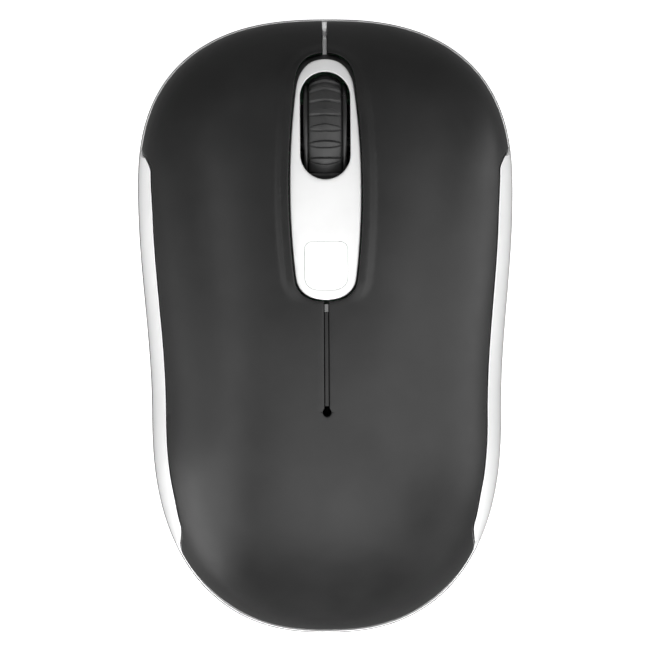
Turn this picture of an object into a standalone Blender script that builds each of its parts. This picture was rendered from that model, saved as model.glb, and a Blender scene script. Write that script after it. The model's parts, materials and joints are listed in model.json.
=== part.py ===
"""Compact wireless computer mouse, modelled piece by piece.

+Y points to the nose, +X to the right and +Z up. The origin is on the desk below the middle of
the body. Sizes are in millimetres, and MM turns them into metres where a mesh is made.
"""
import math

import bmesh
import bpy
from mathutils import Matrix, Vector

MM = 0.001
GAP = 0.3                 # clearance between neighbouring pieces

# Driving dimensions
BODY_LENGTH = 98.2
FRONT_WIDTH = 60.0        # at the widest place, ahead of the middle
WAIST_WIDTH = 55.9
BODY_HEIGHT = 36.5
WALL = 1.5                # shell thickness
WHEEL_TRAVEL = 0.6        # how far the wheel is pressed down to click

# Plan outline
HALF_LENGTH = BODY_LENGTH / 2
FRONT_HALF = FRONT_WIDTH / 2
WAIST_HALF = WAIST_WIDTH / 2
WIDEST_Y = 21.8
WAIST_Y = -14.0
NOSE_POWER = 2.5
TAIL_POWER = 2.4

# Dome of the top cover
SKIRT_Z = 8.5             # height of the cover's lower edge
PEAK_Y = -10.0
PEAK_RISE = BODY_HEIGHT - SKIRT_Z
FRONT_FALL = 0.0053       # how fast the crest falls, per millimetre squared
REAR_FALL = 0.005
NOSE_ROUND = 14.0
TAIL_ROUND = 30.0
DOME_POWER = 2.5

# Parting lines between cover, frame and bottom case
NOSE_EDGE_INSET = 0.3
TAIL_EDGE_INSET = 0.5
TAIL_EDGE_START_Y = -36.0
TAIL_EDGE_REACH = 9.0
EDGE_STEP = 0.04
RAIL_INSET = 2.4
RAIL_FRONT_Y = 28.9
RAIL_REAR_Y = -37.0
RAIL_LEAD = 5.0
RAIL_TRAIL = 4.0
RAIL_DELAY = 1.0          # the frame's rise starts this much inside the cover's
FRAME_BOTTOM_Z = 5.3
LEDGE_Z = 7.6
LEDGE_INSET = 2.3
LIP_INSET = 0.25
LIP_HEIGHT = 0.15
FRAME_CHAMFER = 0.6
FRAME_SIDE_Z = 6.3
FRAME_WALL_INSET = LEDGE_INSET + 0.1
CASE_RIM_Z = 5.0
RAIL_SLOPE_STEPS = (0.1, 0.35, 0.65, 1.0)
UNDERSIDE_Z = 0.6
FLOOR_Z = 2.2
# Section of the bottom case: distance in from the outline, and height
CASE_OUTSIDE = ((0.5, CASE_RIM_Z), (0.6, 3.6), (1.1, 2.0), (2.0, 1.0), (3.0, UNDERSIDE_Z))
CASE_INSIDE = ((3.7, FLOOR_Z), (3.0, 2.6), (2.4, 3.6), (2.3, CASE_RIM_Z))

# Centre trim, slots and flex line
TRIM_FRONT_Y = 42.5
TRIM_REAR_Y = 4.15
TRIM_HALF = 5.65
TRIM_WIDEST_Y = 22.0
TRIM_TAPER = 0.0041
TRIM_FRONT_ROUND = 5.0
TRIM_REAR_ROUND = 3.8
TRIM_CROWN = 0.3
TRIM_WALL = 1.2
TRIM_SINK = 0.35
COLLAR_RISE = 0.22
COLLAR_WIDTH = 2.3
SLOT_HALF = 0.4
FLEX_Y = -13.7
FLEX_Z = 29.0             # height of the line the button skins bend about
OPENING_GAP = 0.5         # between the trim and the straight-sided outline of its opening
RELIEF_RADIUS = 0.68
SPINE_END_Y = -36.0
WINDOW_FRONT_Y = 40.5
WINDOW_REAR_Y = 23.3
WINDOW_HALF = 4.0

# Scroll wheel
WHEEL_Y = 28.9
WHEEL_Z = 18.0
TYRE_RADIUS = 11.0
TYRE_HALF = 2.65
TYRE_CROWN = 0.7
TYRE_INNER = 8.6
RIB_COUNT = 25
RIB_HEIGHT = 0.4
RIM_RADIUS = 9.4
RIM_HALF = 3.45
AXLE_RADIUS = 1.1
AXLE_LEFT_X = -12.1
AXLE_RIGHT_X = 9.9
ROTOR_RADIUS = 2.2

# Boards and switches
BOARD_Z = 5.0
BOARD_THICKNESS = 1.2
PARTS_Z = BOARD_Z + BOARD_THICKNESS + GAP
POWER_SWITCH_Z = 3.4
ENCODER_LEFT_X = -11.8
ENCODER_RIGHT_X = -6.8
ENCODER_HALF_DEPTH = 5.5
ENCODER_TOP_Z = 22.3
HOLDER_LEFT_X = 6.8
HOLDER_RIGHT_X = 10.2
HOLDER_HALF_DEPTH = 4.5
HOLDER_TOP_Z = 21.5
WELL_HALF = 4.4           # hole in the board under the wheel
WELL_FRONT_Y = 35.5
WELL_REAR_Y = 22.3
# Right half of the main board's outline
BOARD_CORNERS = ((21, 9.2), (21, 33), (18, 39), (12, 43.6))
SWITCH_SIZE = (5.8, 12.8, 6.5)
SWITCH_X = 15.1
SWITCH_Y = 33.4
SWITCH_TOP_Z = PARTS_Z + SWITCH_SIZE[2]
PLUNGER_Y = SWITCH_Y + 4.0
PLUNGER_TOP_Z = SWITCH_TOP_Z + 1.2
MIDDLE_SWITCH_X = 8.5
PLUNGER_RADIUS = 1.0
WELL_RADIUS = 1.3
WELL_PLAY = 0.7           # left under a plunger
HOLDER_BOTTOM_Z = PLUNGER_TOP_Z
WELL_DEPTH = 1.4

# DPI key and its board
KEY_HALF = 3.3
KEY_FRONT_Y = 13.3
KEY_REAR_Y = 5.8
KEY_Y = (KEY_FRONT_Y + KEY_REAR_Y) / 2
KEY_BOARD_Z = 25.5
KEY_ROUND = 2.6
KEY_STEM_RADIUS = 1.5
KEY_BOARD_HALF = (6.5, 6.0)
KEY_SWITCH_HALF = 3.0
KEY_SWITCH_HEIGHT = 3.5
KEY_PLUNGER_RADIUS = 1.7
KEY_PLUNGER_STANDS = 0.6

# Battery, tray and door
CELL_RADIUS = 7.25
CELL_X = -4.0
CELL_Z = 10.6
CELL_REAR_Y = -44.6
CELL_BODY_LENGTH = 49.5
CELL_NUB_LENGTH = 1.0
CELL_NUB_RADIUS = 2.75
CELL_END_ROUND = 0.8
CONTACT_HALF = 4.0
CONTACT_THICKNESS = 0.4
CONTACT_BOTTOM_Z = 4.0
CONTACT_TOP_Z = 15.0
SPRING_WIRE = 0.35        # radius of the wire
SPRING_OUTER = 3.6
SPRING_INNER = 1.2
SPRING_RISE = 0.75
SPRING_TURNS = 2.5
DOOR_HALF = 11.8
DOOR_FRONT_Y = 6.6
DOOR_REAR_Y = -44.6
DOOR_THICKNESS = 1.6
DOOR_CORNER = 2.7
DOOR_HINGE_CORNER = 0.5
TRAY_WALL = 1.0
TRAY_FRONT_Y = 7.9
TRAY_REAR_Y = -41.5
TRAY_TOP_Z = 19.1

# Underside
GLIDE_DEPTH = 0.5
GLIDE_HEIGHT = 0.8
CRESCENT_HALF = 12.0
CRESCENT_Y = 43.3
CRESCENT_BEND = 0.016     # how fast the crescent falls back, per millimetre squared
CRESCENT_HALF_DEPTH = 1.6
PAD_HALF = 1.9
PAD_HALF_LENGTH = 9.0
PAD_ROUND = 1.6
PAD_X = 20.7
PAD_Y = -21.0
SCREW_X = 16.5
SCREW_Y = -33.0
SCREW_HOLE_RADIUS = 1.4
SCREW_HEAD_Z = 1.6        # depth of the hollow around each screw head
BOSS_RADIUS = 2.6
BOSS_FOOT_Z = 3.2
BORE_TOP_Z = 14.5
# Screw from the head up: height and radius
SCREW_PROFILE = ((0.75, 0), (0.75, 1.9), (1.0, 2.2), (1.3, 2.2), (1.3, 1.0), (11.5, 1.0), (12.3, 0))
POST_RADIUS = 1.3
BOARD_POST_RADIUS = 1.8
BOARD_POSTS = ((17.5, 10.8), (10.5, 41.0))
SENSOR_Y = 14.4
SENSOR_HOLE = 8.6
CHIP_HALF = (5.5, 4.5)
CHIP_HEIGHT = 3.0
LENS_HALF = 8.0
LENS_FRONT = 5.5          # from the sensor's middle
LENS_REAR = 5.2
LENS_BOTTOM_Z = 2.5
LENS_TOP_Z = 4.7
DIMPLE_RADIUS = 2.2
DIMPLE_Z = 3.9
LIGHT_HOLE_HALF = 2.5
LED_X = 7.0
LED_RISE = 2.6
# Lamp from its base to its tip: distance along and radius
LED_PROFILE = ((0, 0), (0, 1.9), (1, 1.9), (1, 1.5), (4.2, 1.5), (5.2, 1.0), (5.6, 0))
CLIP_LEFT_X = 13.0
CLIP_RIGHT_X = 14.5
CLIP_HALF_DEPTH = 3.0
CLIP_HEIGHT = 6.0
KNOB_X = 15.0
KNOB_Y = 15.0
KNOB_LENGTH = 2.2
KNOB_WIDTH = 2.6
KNOB_TRAVEL = 2.0
KNOB_PLAY = 1.5

# Lower is smoother in the meshes, in millimetres between stations
OUTLINE_STEP = 3.4
BEND_WEIGHT = 5.0         # extra path length counted for each radian of bend
TRIM_ROW_SHARE = 0.8      # share of a button's rows of vertices that start at the trim
EDGE_DETAIL_STEP = 0.9


# ---------------------------------------------------------------------------------- clearing

def clear_scene():
    for obj in list(bpy.data.objects):
        bpy.data.objects.remove(obj)


# ---------------------------------------------------------------------------------- materials

def material(name, grey, roughness, metallic=0.0, colour=None):
    shade = bpy.data.materials.new(name)
    shade.use_nodes = True
    shader = shade.node_tree.nodes["Principled BSDF"]
    rgb = colour or (grey, grey, grey)
    shader.inputs["Base Color"].default_value = (*rgb, 1.0)
    shader.inputs["Roughness"].default_value = roughness
    shader.inputs["Metallic"].default_value = metallic
    return shade


# ---------------------------------------------------------------------------------- form

def smooth(value):
    value = min(1.0, max(0.0, value))
    return value * value * (3 - 2 * value)


def mix(low, high, share):
    return low + (high - low) * share


def rounding(ratio, power):
    """Quarter of a superellipse: 1 in the middle, 0 at the edge."""
    return max(0.0, 1 - min(1.0, abs(ratio)) ** power) ** (1 / power)


def half_width(y, inset=0.0):
    """Half the width of the plan outline, pulled in by inset."""
    if y > WIDEST_Y:
        reach = HALF_LENGTH - WIDEST_Y - inset
        return (FRONT_HALF - inset) * rounding((y - WIDEST_Y) / reach, NOSE_POWER)
    if y < WAIST_Y:
        reach = HALF_LENGTH + WAIST_Y - inset
        return (WAIST_HALF - inset) * rounding((WAIST_Y - y) / reach, TAIL_POWER)
    swing = math.cos(math.pi * (WIDEST_Y - y) / (WIDEST_Y - WAIST_Y))
    return (FRONT_HALF + WAIST_HALF) / 2 - inset + (FRONT_HALF - WAIST_HALF) / 2 * swing


def crest(y, inset, sink):
    """Rise of the dome above the skirt on the centre line."""
    fall = FRONT_FALL if y > PEAK_Y else REAR_FALL
    rise = PEAK_RISE - sink - fall * (y - PEAK_Y) ** 2
    length = NOSE_ROUND if y > PEAK_Y else TAIL_ROUND
    from_end = HALF_LENGTH - inset - abs(y)
    return rise * rounding(1 - max(0.0, min(length, from_end)) / length, DOME_POWER)


def dome(x, y, inset=NOSE_EDGE_INSET, sink=0.0):
    width = half_width(y, inset)
    if width <= 0:
        return SKIRT_Z
    return SKIRT_Z + crest(y, inset, sink) * rounding(x / width, DOME_POWER)


def rim_point(turn, inset=0.0):
    """Point of the right half outline: turn 0 is the nose, 1 the widest place, 3 the tail."""
    if turn <= 1:
        angle = turn * math.pi / 2
        x = (FRONT_HALF - inset) * math.sin(angle) ** (2 / NOSE_POWER)
        reach = HALF_LENGTH - WIDEST_Y - inset
        return x, WIDEST_Y + reach * max(0.0, math.cos(angle)) ** (2 / NOSE_POWER)
    if turn >= 2:
        angle = (turn - 2) * math.pi / 2
        x = (WAIST_HALF - inset) * max(0.0, math.cos(angle)) ** (2 / TAIL_POWER)
        reach = HALF_LENGTH + WAIST_Y - inset
        return x, WAIST_Y - reach * math.sin(angle) ** (2 / TAIL_POWER)
    y = mix(WIDEST_Y, WAIST_Y, turn - 1)
    return half_width(y, inset), y


def edge_inset(y):
    share = smooth((TAIL_EDGE_START_Y - y) / TAIL_EDGE_REACH)
    return mix(NOSE_EDGE_INSET, TAIL_EDGE_INSET, share)


def rail_share(y, delay=0.0):
    """0 where the frame is only a ring, 1 where its side rail is fully raised."""
    front = smooth((RAIL_FRONT_Y - delay - y) / RAIL_LEAD)
    rear = smooth((y - RAIL_REAR_Y - delay) / RAIL_TRAIL)
    return front * rear


def cover_edge(turn):
    y = rim_point(turn)[1]
    inset = mix(edge_inset(y) + EDGE_STEP, RAIL_INSET + GAP / 2, rail_share(y))
    return rim_point(turn, inset)


def outline_turns(start, end, step, detail):
    """Values of turn from start to end, closer together where the rail begins and ends."""
    samples = 3000
    turns = [start]
    last = Vector(rim_point(start))
    for index in range(1, samples + 1):
        turn = mix(start, end, index / samples)
        point = Vector(rim_point(turn))
        near_front = abs(point.y - RAIL_FRONT_Y + RAIL_LEAD / 2) < RAIL_LEAD / 2 + 1
        near_rear = abs(point.y - RAIL_REAR_Y - RAIL_TRAIL / 2) < RAIL_TRAIL / 2 + 1
        wanted = detail if near_front or near_rear else step
        if (point - last).length >= wanted:
            turns.append(turn)
            last = point
    turns[-1] = end
    return turns


def turn_at(y):
    """The turn where the right half outline passes y."""
    low = 0.0
    high = 3.0
    for _ in range(50):
        middle = (low + high) / 2
        if rim_point(middle)[1] > y:
            low = middle
        else:
            high = middle
    return low


def trim_half(y, grow=0.0):
    """Half the width of the centre trim, grown outwards by grow."""
    front = TRIM_FRONT_Y + grow - y
    rear = y - TRIM_REAR_Y + grow
    if front <= 0 or rear <= 0:
        return 0.0
    width = TRIM_HALF + grow - TRIM_TAPER * (y - TRIM_WIDEST_Y) ** 2
    width *= rounding(1 - min(front, TRIM_FRONT_ROUND) / TRIM_FRONT_ROUND, DOME_POWER)
    return width * rounding(1 - min(rear, TRIM_REAR_ROUND) / TRIM_REAR_ROUND, DOME_POWER)


def trim_contour(count, grow):
    """Right side of the trim outline from front to rear."""
    dense = []
    for index in range(401):
        share = (1 - math.cos(math.pi * index / 400)) / 2
        y = mix(TRIM_FRONT_Y + grow, TRIM_REAR_Y - grow, share)
        dense.append(Vector((trim_half(y, grow), y)))
    start = next(i for i, point in enumerate(dense) if point.x >= SLOT_HALF)
    end = max(i for i, point in enumerate(dense) if point.x >= SLOT_HALF)
    return spread_points(dense[start:end + 1], count)


def spread_points(points, count):
    """Points along a path at even steps, the steps shorter where the path bends."""
    lengths = [0.0]
    heading = points[1] - points[0]
    for first, second in zip(points, points[1:]):
        turned_by = heading.angle(second - first, 0.0)
        lengths.append(lengths[-1] + (second - first).length + BEND_WEIGHT * turned_by)
        heading = second - first
    result = []
    place = 0
    for index in range(count):
        target = lengths[-1] * index / (count - 1)
        while place < len(points) - 2 and lengths[place + 1] < target:
            place += 1
        span = lengths[place + 1] - lengths[place]
        share = (target - lengths[place]) / span if span > 0 else 0.0
        result.append(points[place].lerp(points[place + 1], min(1.0, share)))
    return result


OPENING = trim_contour(60, OPENING_GAP)


def collar(x, y):
    """Height of the low collar that the cover has around the trim."""
    point = Vector((abs(x), y))
    distance = min((point - near).length for near in OPENING)
    return COLLAR_RISE * (1 - smooth(distance / COLLAR_WIDTH))


def cover_top(x, y):
    return dome(x, y, edge_inset(y)) + collar(x, y)


def cover_bottom(x, y):
    inner = dome(x, y, edge_inset(y) + WALL, WALL)
    return max(SKIRT_Z, inner + collar(x, y))


def trim_top(x, y):
    width = max(1.0, trim_half(y))
    crown = TRIM_CROWN * (1 - min(1.0, abs(x) / width) ** 2)
    return dome(x, y) - TRIM_SINK + crown


# ---------------------------------------------------------------------------------- meshes

def new_object(name, bm, shade, origin=(0, 0, 0), sharp_angle=35):
    """Turn a bmesh in millimetres into an object in metres with its origin at origin."""
    bmesh.ops.recalc_face_normals(bm, faces=bm.faces)
    bm.transform(Matrix.Translation(-Vector(origin)))
    bm.transform(Matrix.Scale(MM, 4))
    mesh = bpy.data.meshes.new(name)
    bm.to_mesh(mesh)
    bm.free()
    mesh.shade_smooth()
    mesh.set_sharp_from_angle(angle=math.radians(sharp_angle))
    mesh.materials.append(shade)
    obj = bpy.data.objects.new(name, mesh)
    obj.location = Vector(origin) * MM
    bpy.context.collection.objects.link(obj)
    return obj


def as_tool(obj):
    obj.hide_render = True
    obj.display_type = "WIRE"
    return obj


def combine(obj, tool, operation):
    modifier = obj.modifiers.new(operation.title(), "BOOLEAN")
    modifier.operation = operation
    modifier.solver = "EXACT"
    modifier.object = as_tool(tool)


def cut(obj, tool):
    combine(obj, tool, "DIFFERENCE")


def join(obj, tool):
    combine(obj, tool, "UNION")


def block(name, low, high, shade, bevel=0.0, origin=(0, 0, 0)):
    bm = bmesh.new()
    size = Vector(high) - Vector(low)
    middle = (Vector(high) + Vector(low)) / 2
    bmesh.ops.create_cube(bm, size=1.0)
    bmesh.ops.scale(bm, vec=size, verts=bm.verts)
    bmesh.ops.translate(bm, vec=middle, verts=bm.verts)
    if bevel:
        bmesh.ops.bevel(bm, geom=bm.edges[:], offset=bevel, segments=1, affect="EDGES")
    return new_object(name, bm, shade, origin)


def turned(name, profile, shade, centre, axis="Z", segments=24, origin=None):
    """Solid of revolution. profile lists (along, radius) and starts and ends on the axis."""
    bm = bmesh.new()
    rings = []
    for along, radius in profile:
        if radius == 0:
            rings.append([bm.verts.new((0, 0, along))])
            continue
        ring = []
        for index in range(segments):
            angle = 2 * math.pi * (index + 0.5) / segments
            ring.append(bm.verts.new((radius * math.cos(angle), radius * math.sin(angle), along)))
        rings.append(ring)
    for first, second in zip(rings, rings[1:]):
        for index in range(segments):
            other = (index + 1) % segments
            corners = [first[index % len(first)], first[other % len(first)]]
            corners += [second[other % len(second)], second[index % len(second)]]
            bm.faces.new(dict.fromkeys(corners))
    if axis == "X":
        bm.transform(Matrix.Rotation(math.pi / 2, 4, "Y"))
    if axis == "Y":
        bm.transform(Matrix.Rotation(-math.pi / 2, 4, "X"))
    bm.transform(Matrix.Translation(Vector(centre)))
    return new_object(name, bm, shade, origin or (0, 0, 0))


def rod(name, radius, low, high, shade, centre, axis="Z", segments=24, origin=None):
    profile = [(low, 0), (low, radius), (high, radius), (high, 0)]
    return turned(name, profile, shade, centre, axis, segments, origin)


def prism(name, outline, low, high, shade, origin=(0, 0, 0)):
    """Upright prism over a plan outline."""
    bm = bmesh.new()
    lower = [bm.verts.new((x, y, low)) for x, y in outline]
    upper = [bm.verts.new((x, y, high)) for x, y in outline]
    bm.faces.new(list(reversed(lower)))
    bm.faces.new(upper)
    for index in range(len(outline)):
        other = (index + 1) % len(outline)
        bm.faces.new((lower[index], lower[other], upper[other], upper[index]))
    return new_object(name, bm, shade, origin)


def slab(name, grids, top, bottom, shade, origin=(0, 0, 0)):
    """Shell over plan grids: a top and a bottom surface joined by upright walls."""
    bm = bmesh.new()
    flat = {}

    def plan_vertex(x, y):
        key = (round(x, 4), round(y, 4))
        if key not in flat:
            flat[key] = bm.verts.new((x, y, 0))
        return flat[key]

    for grid in grids:
        for row, following in zip(grid, grid[1:]):
            for index in range(len(row) - 1):
                corners = [row[index], row[index + 1], following[index + 1], following[index]]
                distinct = list(dict.fromkeys(plan_vertex(*corner) for corner in corners))
                if len(distinct) > 2:
                    bm.faces.new(distinct)
    lower = {vert: bm.verts.new((vert.co.x, vert.co.y, 0)) for vert in list(bm.verts)}
    uppers = list(bm.faces)
    edges = [edge for edge in bm.edges if edge.is_boundary]
    for face in uppers:
        bm.faces.new([lower[vert] for vert in reversed(face.verts)])
    for edge in edges:
        first, second = edge.verts
        bm.faces.new((first, second, lower[second], lower[first]))
    for vert, under in lower.items():
        vert.co.z = top(vert.co.x, vert.co.y)
        under.co.z = bottom(under.co.x, under.co.y)
    return new_object(name, bm, shade, origin)


def rows_between(inner, outer, columns):
    """Rows of plan points from each inner point to its outer one, close near both ends."""
    rows = []
    for start, end in zip(inner, outer):
        start = Vector(start)
        end = Vector(end)
        reach = (end - start).length
        near = min(COLLAR_WIDTH, reach / 3)
        row = [start, start.lerp(end, near / 2 / reach)]
        for index in range(columns + 1):
            share = 1 - (1 - index / columns) ** 1.9
            row.append(start.lerp(end, mix(near / reach, 1, share)))
        rows.append([(point.x, point.y) for point in row])
    return rows


def mirrored(rows):
    return [[(-x, y) for x, y in row] for row in rows]


def width_grid(front, rear, width, rows, columns, ease=True):
    """Plan grid between front and rear, as wide as the width function says."""
    grid = []
    for index in range(rows + 1):
        share = index / rows
        if ease:
            share = (1 - math.cos(math.pi * share)) / 2
        y = mix(front, rear, share)
        half = max(0.2, width(y))
        grid.append([(mix(-half, half, column / columns), y) for column in range(columns + 1)])
    return grid


def rounded_box(half_x, front, rear, radius, steps=4):
    """Plan outline of a rectangle with round corners, anticlockwise from the front right."""
    corners = [(half_x - radius, front - radius, 0), (radius - half_x, front - radius, 90)]
    corners += [(radius - half_x, rear + radius, 180), (half_x - radius, rear + radius, 270)]
    points = []
    for x, y, start in corners:
        for index in range(steps + 1):
            angle = math.radians(start + 90 * index / steps)
            points.append((x + radius * math.cos(angle), y + radius * math.sin(angle)))
    return points


def shifted(outline, x, y=0.0):
    return [(px + x, py + y) for px, py in outline]


# ---------------------------------------------------------------------------------- the cover

def flex_station():
    """Turn of the cover edge where the button skins meet the palm shell."""
    return turn_at(FLEX_Y)


def button_rows():
    flex_turn = flex_station()
    outer_turns = outline_turns(turn_at(HALF_LENGTH - 0.02), flex_turn, OUTLINE_STEP, 1.2)
    outer = [Vector(cover_edge(turn)) for turn in outer_turns]
    outer[0] = Vector((SLOT_HALF, outer[0].y))
    outer[-1].y = FLEX_Y + GAP / 2
    count = len(outer)
    around_trim = int(count * TRIM_ROW_SHARE)
    inner = trim_contour(around_trim, OPENING_GAP)
    rear_start = inner[-1].y
    hole_side = [Vector((SLOT_HALF, FLEX_Y + RELIEF_RADIUS * 0.8)),
                 Vector((RELIEF_RADIUS, FLEX_Y + GAP / 2))]
    steps = count - around_trim - len(hole_side)
    for index in range(1, steps + 1):
        y = mix(rear_start, hole_side[0].y, index / (steps + 1))
        inner.append(Vector((SLOT_HALF, y)))
    return rows_between(inner + hole_side, outer, 7)


def palm_rows():
    outer_turns = outline_turns(flex_station(), 3.0, OUTLINE_STEP, 1.0)
    outer = [Vector(cover_edge(turn)) for turn in outer_turns]
    outer[0].y = FLEX_Y - GAP / 2
    outer[-1].x = 0.0
    inner = []
    for angle in (12, 50, 90):
        turn = math.radians(angle)
        x = RELIEF_RADIUS * math.cos(turn) if angle < 90 else 0.0
        inner.append(Vector((x, FLEX_Y - max(GAP / 2, RELIEF_RADIUS * math.sin(turn)))))
    steps = len(outer) - len(inner)
    start = inner[-1].y
    for index in range(1, steps + 1):
        inner.append(Vector((0, mix(start, SPINE_END_Y, index / steps))))
    return rows_between(inner, outer, 8)


def buried_top(x, y, radius):
    """Height at which a round post ends inside the cover's wall all around."""
    angles = [math.pi * index / 12 for index in range(24)]
    ring = [(x + radius * math.cos(angle), y + radius * math.sin(angle)) for angle in angles]
    return min(cover_top(*point) for point in ring) - WALL / 3


def make_cover(shade):
    palm = palm_rows()
    cover = slab("top_cover", [palm, mirrored(palm)], cover_top, cover_bottom, shade)
    for side in (-1, 1):
        x = side * SCREW_X
        top = buried_top(x, SCREW_Y, BOSS_RADIUS)
        boss = rod("boss_tool", BOSS_RADIUS, BOSS_FOOT_Z, top, shade, (x, SCREW_Y, 0), segments=16)
        join(cover, boss)
        bore = rod("bore_tool", SCREW_HOLE_RADIUS, 0, BORE_TOP_Z, shade, (x, SCREW_Y, 0), segments=12)
        cut(cover, bore)
    return cover


def make_button(name, side, shade):
    rows = button_rows()
    if side < 0:
        rows = mirrored(rows)
    hinge = (0, FLEX_Y, FLEX_Z)
    button = slab(name, [rows], cover_top, cover_bottom, shade, hinge)
    x = side * SWITCH_X
    foot = PLUNGER_TOP_Z + GAP
    top = buried_top(x, PLUNGER_Y, POST_RADIUS)
    post = rod("post_tool", POST_RADIUS, foot, top, shade, (x, PLUNGER_Y, 0), segments=12)
    join(button, post)
    return button


# ---------------------------------------------------------------------------------- centre trim

def stadium(half, front, rear, steps=8):
    return rounded_box(half, front, rear, half - 0.01, steps)


def key_half(y, grow=0.0):
    width = KEY_HALF + grow
    return width * rounding(1 - min(KEY_ROUND, y - KEY_REAR_Y + grow) / KEY_ROUND, 3.0)


def make_trim(shade):
    rows = width_grid(TRIM_FRONT_Y, TRIM_REAR_Y, trim_half, 26, 6)

    def bottom(x, y):
        return trim_top(x, y) - TRIM_WALL

    trim = slab("center_trim", [rows], trim_top, bottom, shade)
    window = stadium(WINDOW_HALF, WINDOW_FRONT_Y, WINDOW_REAR_Y)
    cut(trim, prism("window_tool", window, 15, 40, shade))
    right = []
    for index in range(9):
        y = mix(KEY_REAR_Y - GAP + 0.05, KEY_FRONT_Y + GAP, index / 8)
        right.append((key_half(y, GAP), y))
    outline = right + [(-x, y) for x, y in reversed(right)]
    cut(trim, prism("key_hole_tool", outline, 25, 40, shade))
    return trim


def make_key(shade):
    rows = width_grid(KEY_FRONT_Y, KEY_REAR_Y, key_half, 8, 4, ease=False)

    def bottom(x, y):
        return trim_top(x, y) - TRIM_WALL

    key = slab("dpi_key", [rows], trim_top, bottom, shade, (0, KEY_Y, trim_top(0, KEY_Y)))
    top = trim_top(0, KEY_Y) - TRIM_WALL / 2
    foot = KEY_BOARD_Z + BOARD_THICKNESS + GAP + KEY_SWITCH_HEIGHT + KEY_PLUNGER_STANDS + GAP
    join(key, rod("stem_tool", KEY_STEM_RADIUS, foot, top, shade, (0, KEY_Y, 0), segments=12))
    return key


# ---------------------------------------------------------------------------------- frame, case

def make_frame(shade):
    """White ring around the body, raised into a rail on each side."""
    turns = outline_turns(0.0, 3.0, OUTLINE_STEP, EDGE_DETAIL_STEP)
    bm = bmesh.new()
    rings = []
    path = [(turn, 1) for turn in turns] + [(turn, -1) for turn in reversed(turns[1:-1])]
    for turn, side in path:
        y = rim_point(turn)[1]
        share = rail_share(y, RAIL_DELAY)
        inset = mix(LIP_INSET, RAIL_INSET - GAP / 2, share)
        rise = smooth(3 * share)
        profile = [(FRAME_CHAMFER, FRAME_BOTTOM_Z), (0.0, FRAME_SIDE_Z), (0.0, LEDGE_Z - 0.2)]
        for part in RAIL_SLOPE_STEPS:
            x, py = rim_point(turn, inset * part)
            low = LEDGE_Z + LIP_HEIGHT * part
            profile.append((inset * part, mix(low, max(low, dome(x, py, 0.0)), rise)))
        profile.append((inset + 0.02, LEDGE_Z - 0.05))
        profile.append((FRAME_WALL_INSET, LEDGE_Z - 0.1))
        profile.append((FRAME_WALL_INSET, FRAME_BOTTOM_Z))
        ring = []
        for depth, z in profile:
            x, py = rim_point(turn, depth)
            ring.append(bm.verts.new((side * x, py, z)))
        rings.append(ring)
    bridge_rings(bm, rings)
    return new_object("mid_frame", bm, shade)


def bridge_rings(bm, rings):
    """Faces between neighbouring closed rings, and from the last back to the first."""
    for first, second in zip(rings, rings[1:] + rings[:1]):
        count = len(first)
        for index in range(count):
            other = (index + 1) % count
            bm.faces.new((first[index], first[other], second[other], second[index]))


def rim_loop(inset, step):
    turns = outline_turns(0.0, 3.0, step, step)
    right = [rim_point(turn, inset) for turn in turns]
    left = [(-x, y) for x, y in reversed(right[1:-1])]
    return right + left


def make_case(shade):
    """Shallow bottom shell with its openings, glide recesses and board posts."""
    bm = bmesh.new()
    loops = []
    for inset, z in CASE_OUTSIDE + CASE_INSIDE:
        loops.append([bm.verts.new((x, y, z)) for x, y in rim_loop(inset, OUTLINE_STEP)])
    for first, second in zip(loops, loops[1:] + loops[:1]):
        if first is loops[len(CASE_OUTSIDE) - 1]:
            continue
        count = len(first)
        for index in range(count):
            other = (index + 1) % count
            bm.faces.new((first[index], first[other], second[other], second[index]))
    bm.faces.new(loops[len(CASE_OUTSIDE) - 1])
    bm.faces.new(loops[len(CASE_OUTSIDE)])
    case = new_object("bottom_case", bm, shade)
    below = UNDERSIDE_Z - 1
    above = FLOOR_Z + 1
    cut(case, prism("door_hole_tool", door_outline(GAP), below, above, shade))
    half = SENSOR_HOLE / 2
    sensor = rounded_box(half, SENSOR_Y + half, SENSOR_Y - half, 1.2)
    cut(case, prism("sensor_hole_tool", sensor, below, above, shade))
    slot_x = (KNOB_LENGTH + KNOB_TRAVEL) / 2 + KNOB_PLAY
    slot_y = KNOB_WIDTH / 2 + GAP
    slot = shifted(rounded_box(slot_x, slot_y, -slot_y, 1.0), KNOB_X, KNOB_Y)
    cut(case, prism("knob_slot_tool", slot, below, above, shade))
    for index, outline in enumerate(glide_outlines(GAP)):
        top = UNDERSIDE_Z + GLIDE_DEPTH
        cut(case, prism(f"glide_recess_tool_{index}", outline, below, top, shade))
    for side in (-1, 1):
        place = (side * SCREW_X, SCREW_Y, 0)
        hole = rod("screw_hole_tool", SCREW_HOLE_RADIUS, below, above, shade, place, segments=12)
        cut(case, hole)
        head = rod("counterbore_tool", BOSS_RADIUS, below, SCREW_HEAD_Z, shade, place, segments=16)
        cut(case, head)
        for x, y in BOARD_POSTS:
            post = rod("post_tool", BOARD_POST_RADIUS, FLOOR_Z - 0.6, BOARD_Z - GAP, shade,
                       (side * x, y, 0), segments=12)
            join(case, post)
    return case


def glide_outlines(grow):
    """Plan outlines of the front crescent and the two rear pads."""
    front = []
    reach = CRESCENT_HALF + grow
    depth = CRESCENT_HALF_DEPTH + grow
    for side in (-1, 1):
        for index in range(13):
            x = mix(-reach, reach, index / 12) * -side
            front.append((x, CRESCENT_Y - CRESCENT_BEND * x * x + side * depth))
    length = PAD_HALF_LENGTH + grow
    pad = rounded_box(PAD_HALF + grow, length, -length, PAD_ROUND + grow)
    return [front, shifted(pad, -PAD_X, PAD_Y), shifted(pad, PAD_X, PAD_Y)]


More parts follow.
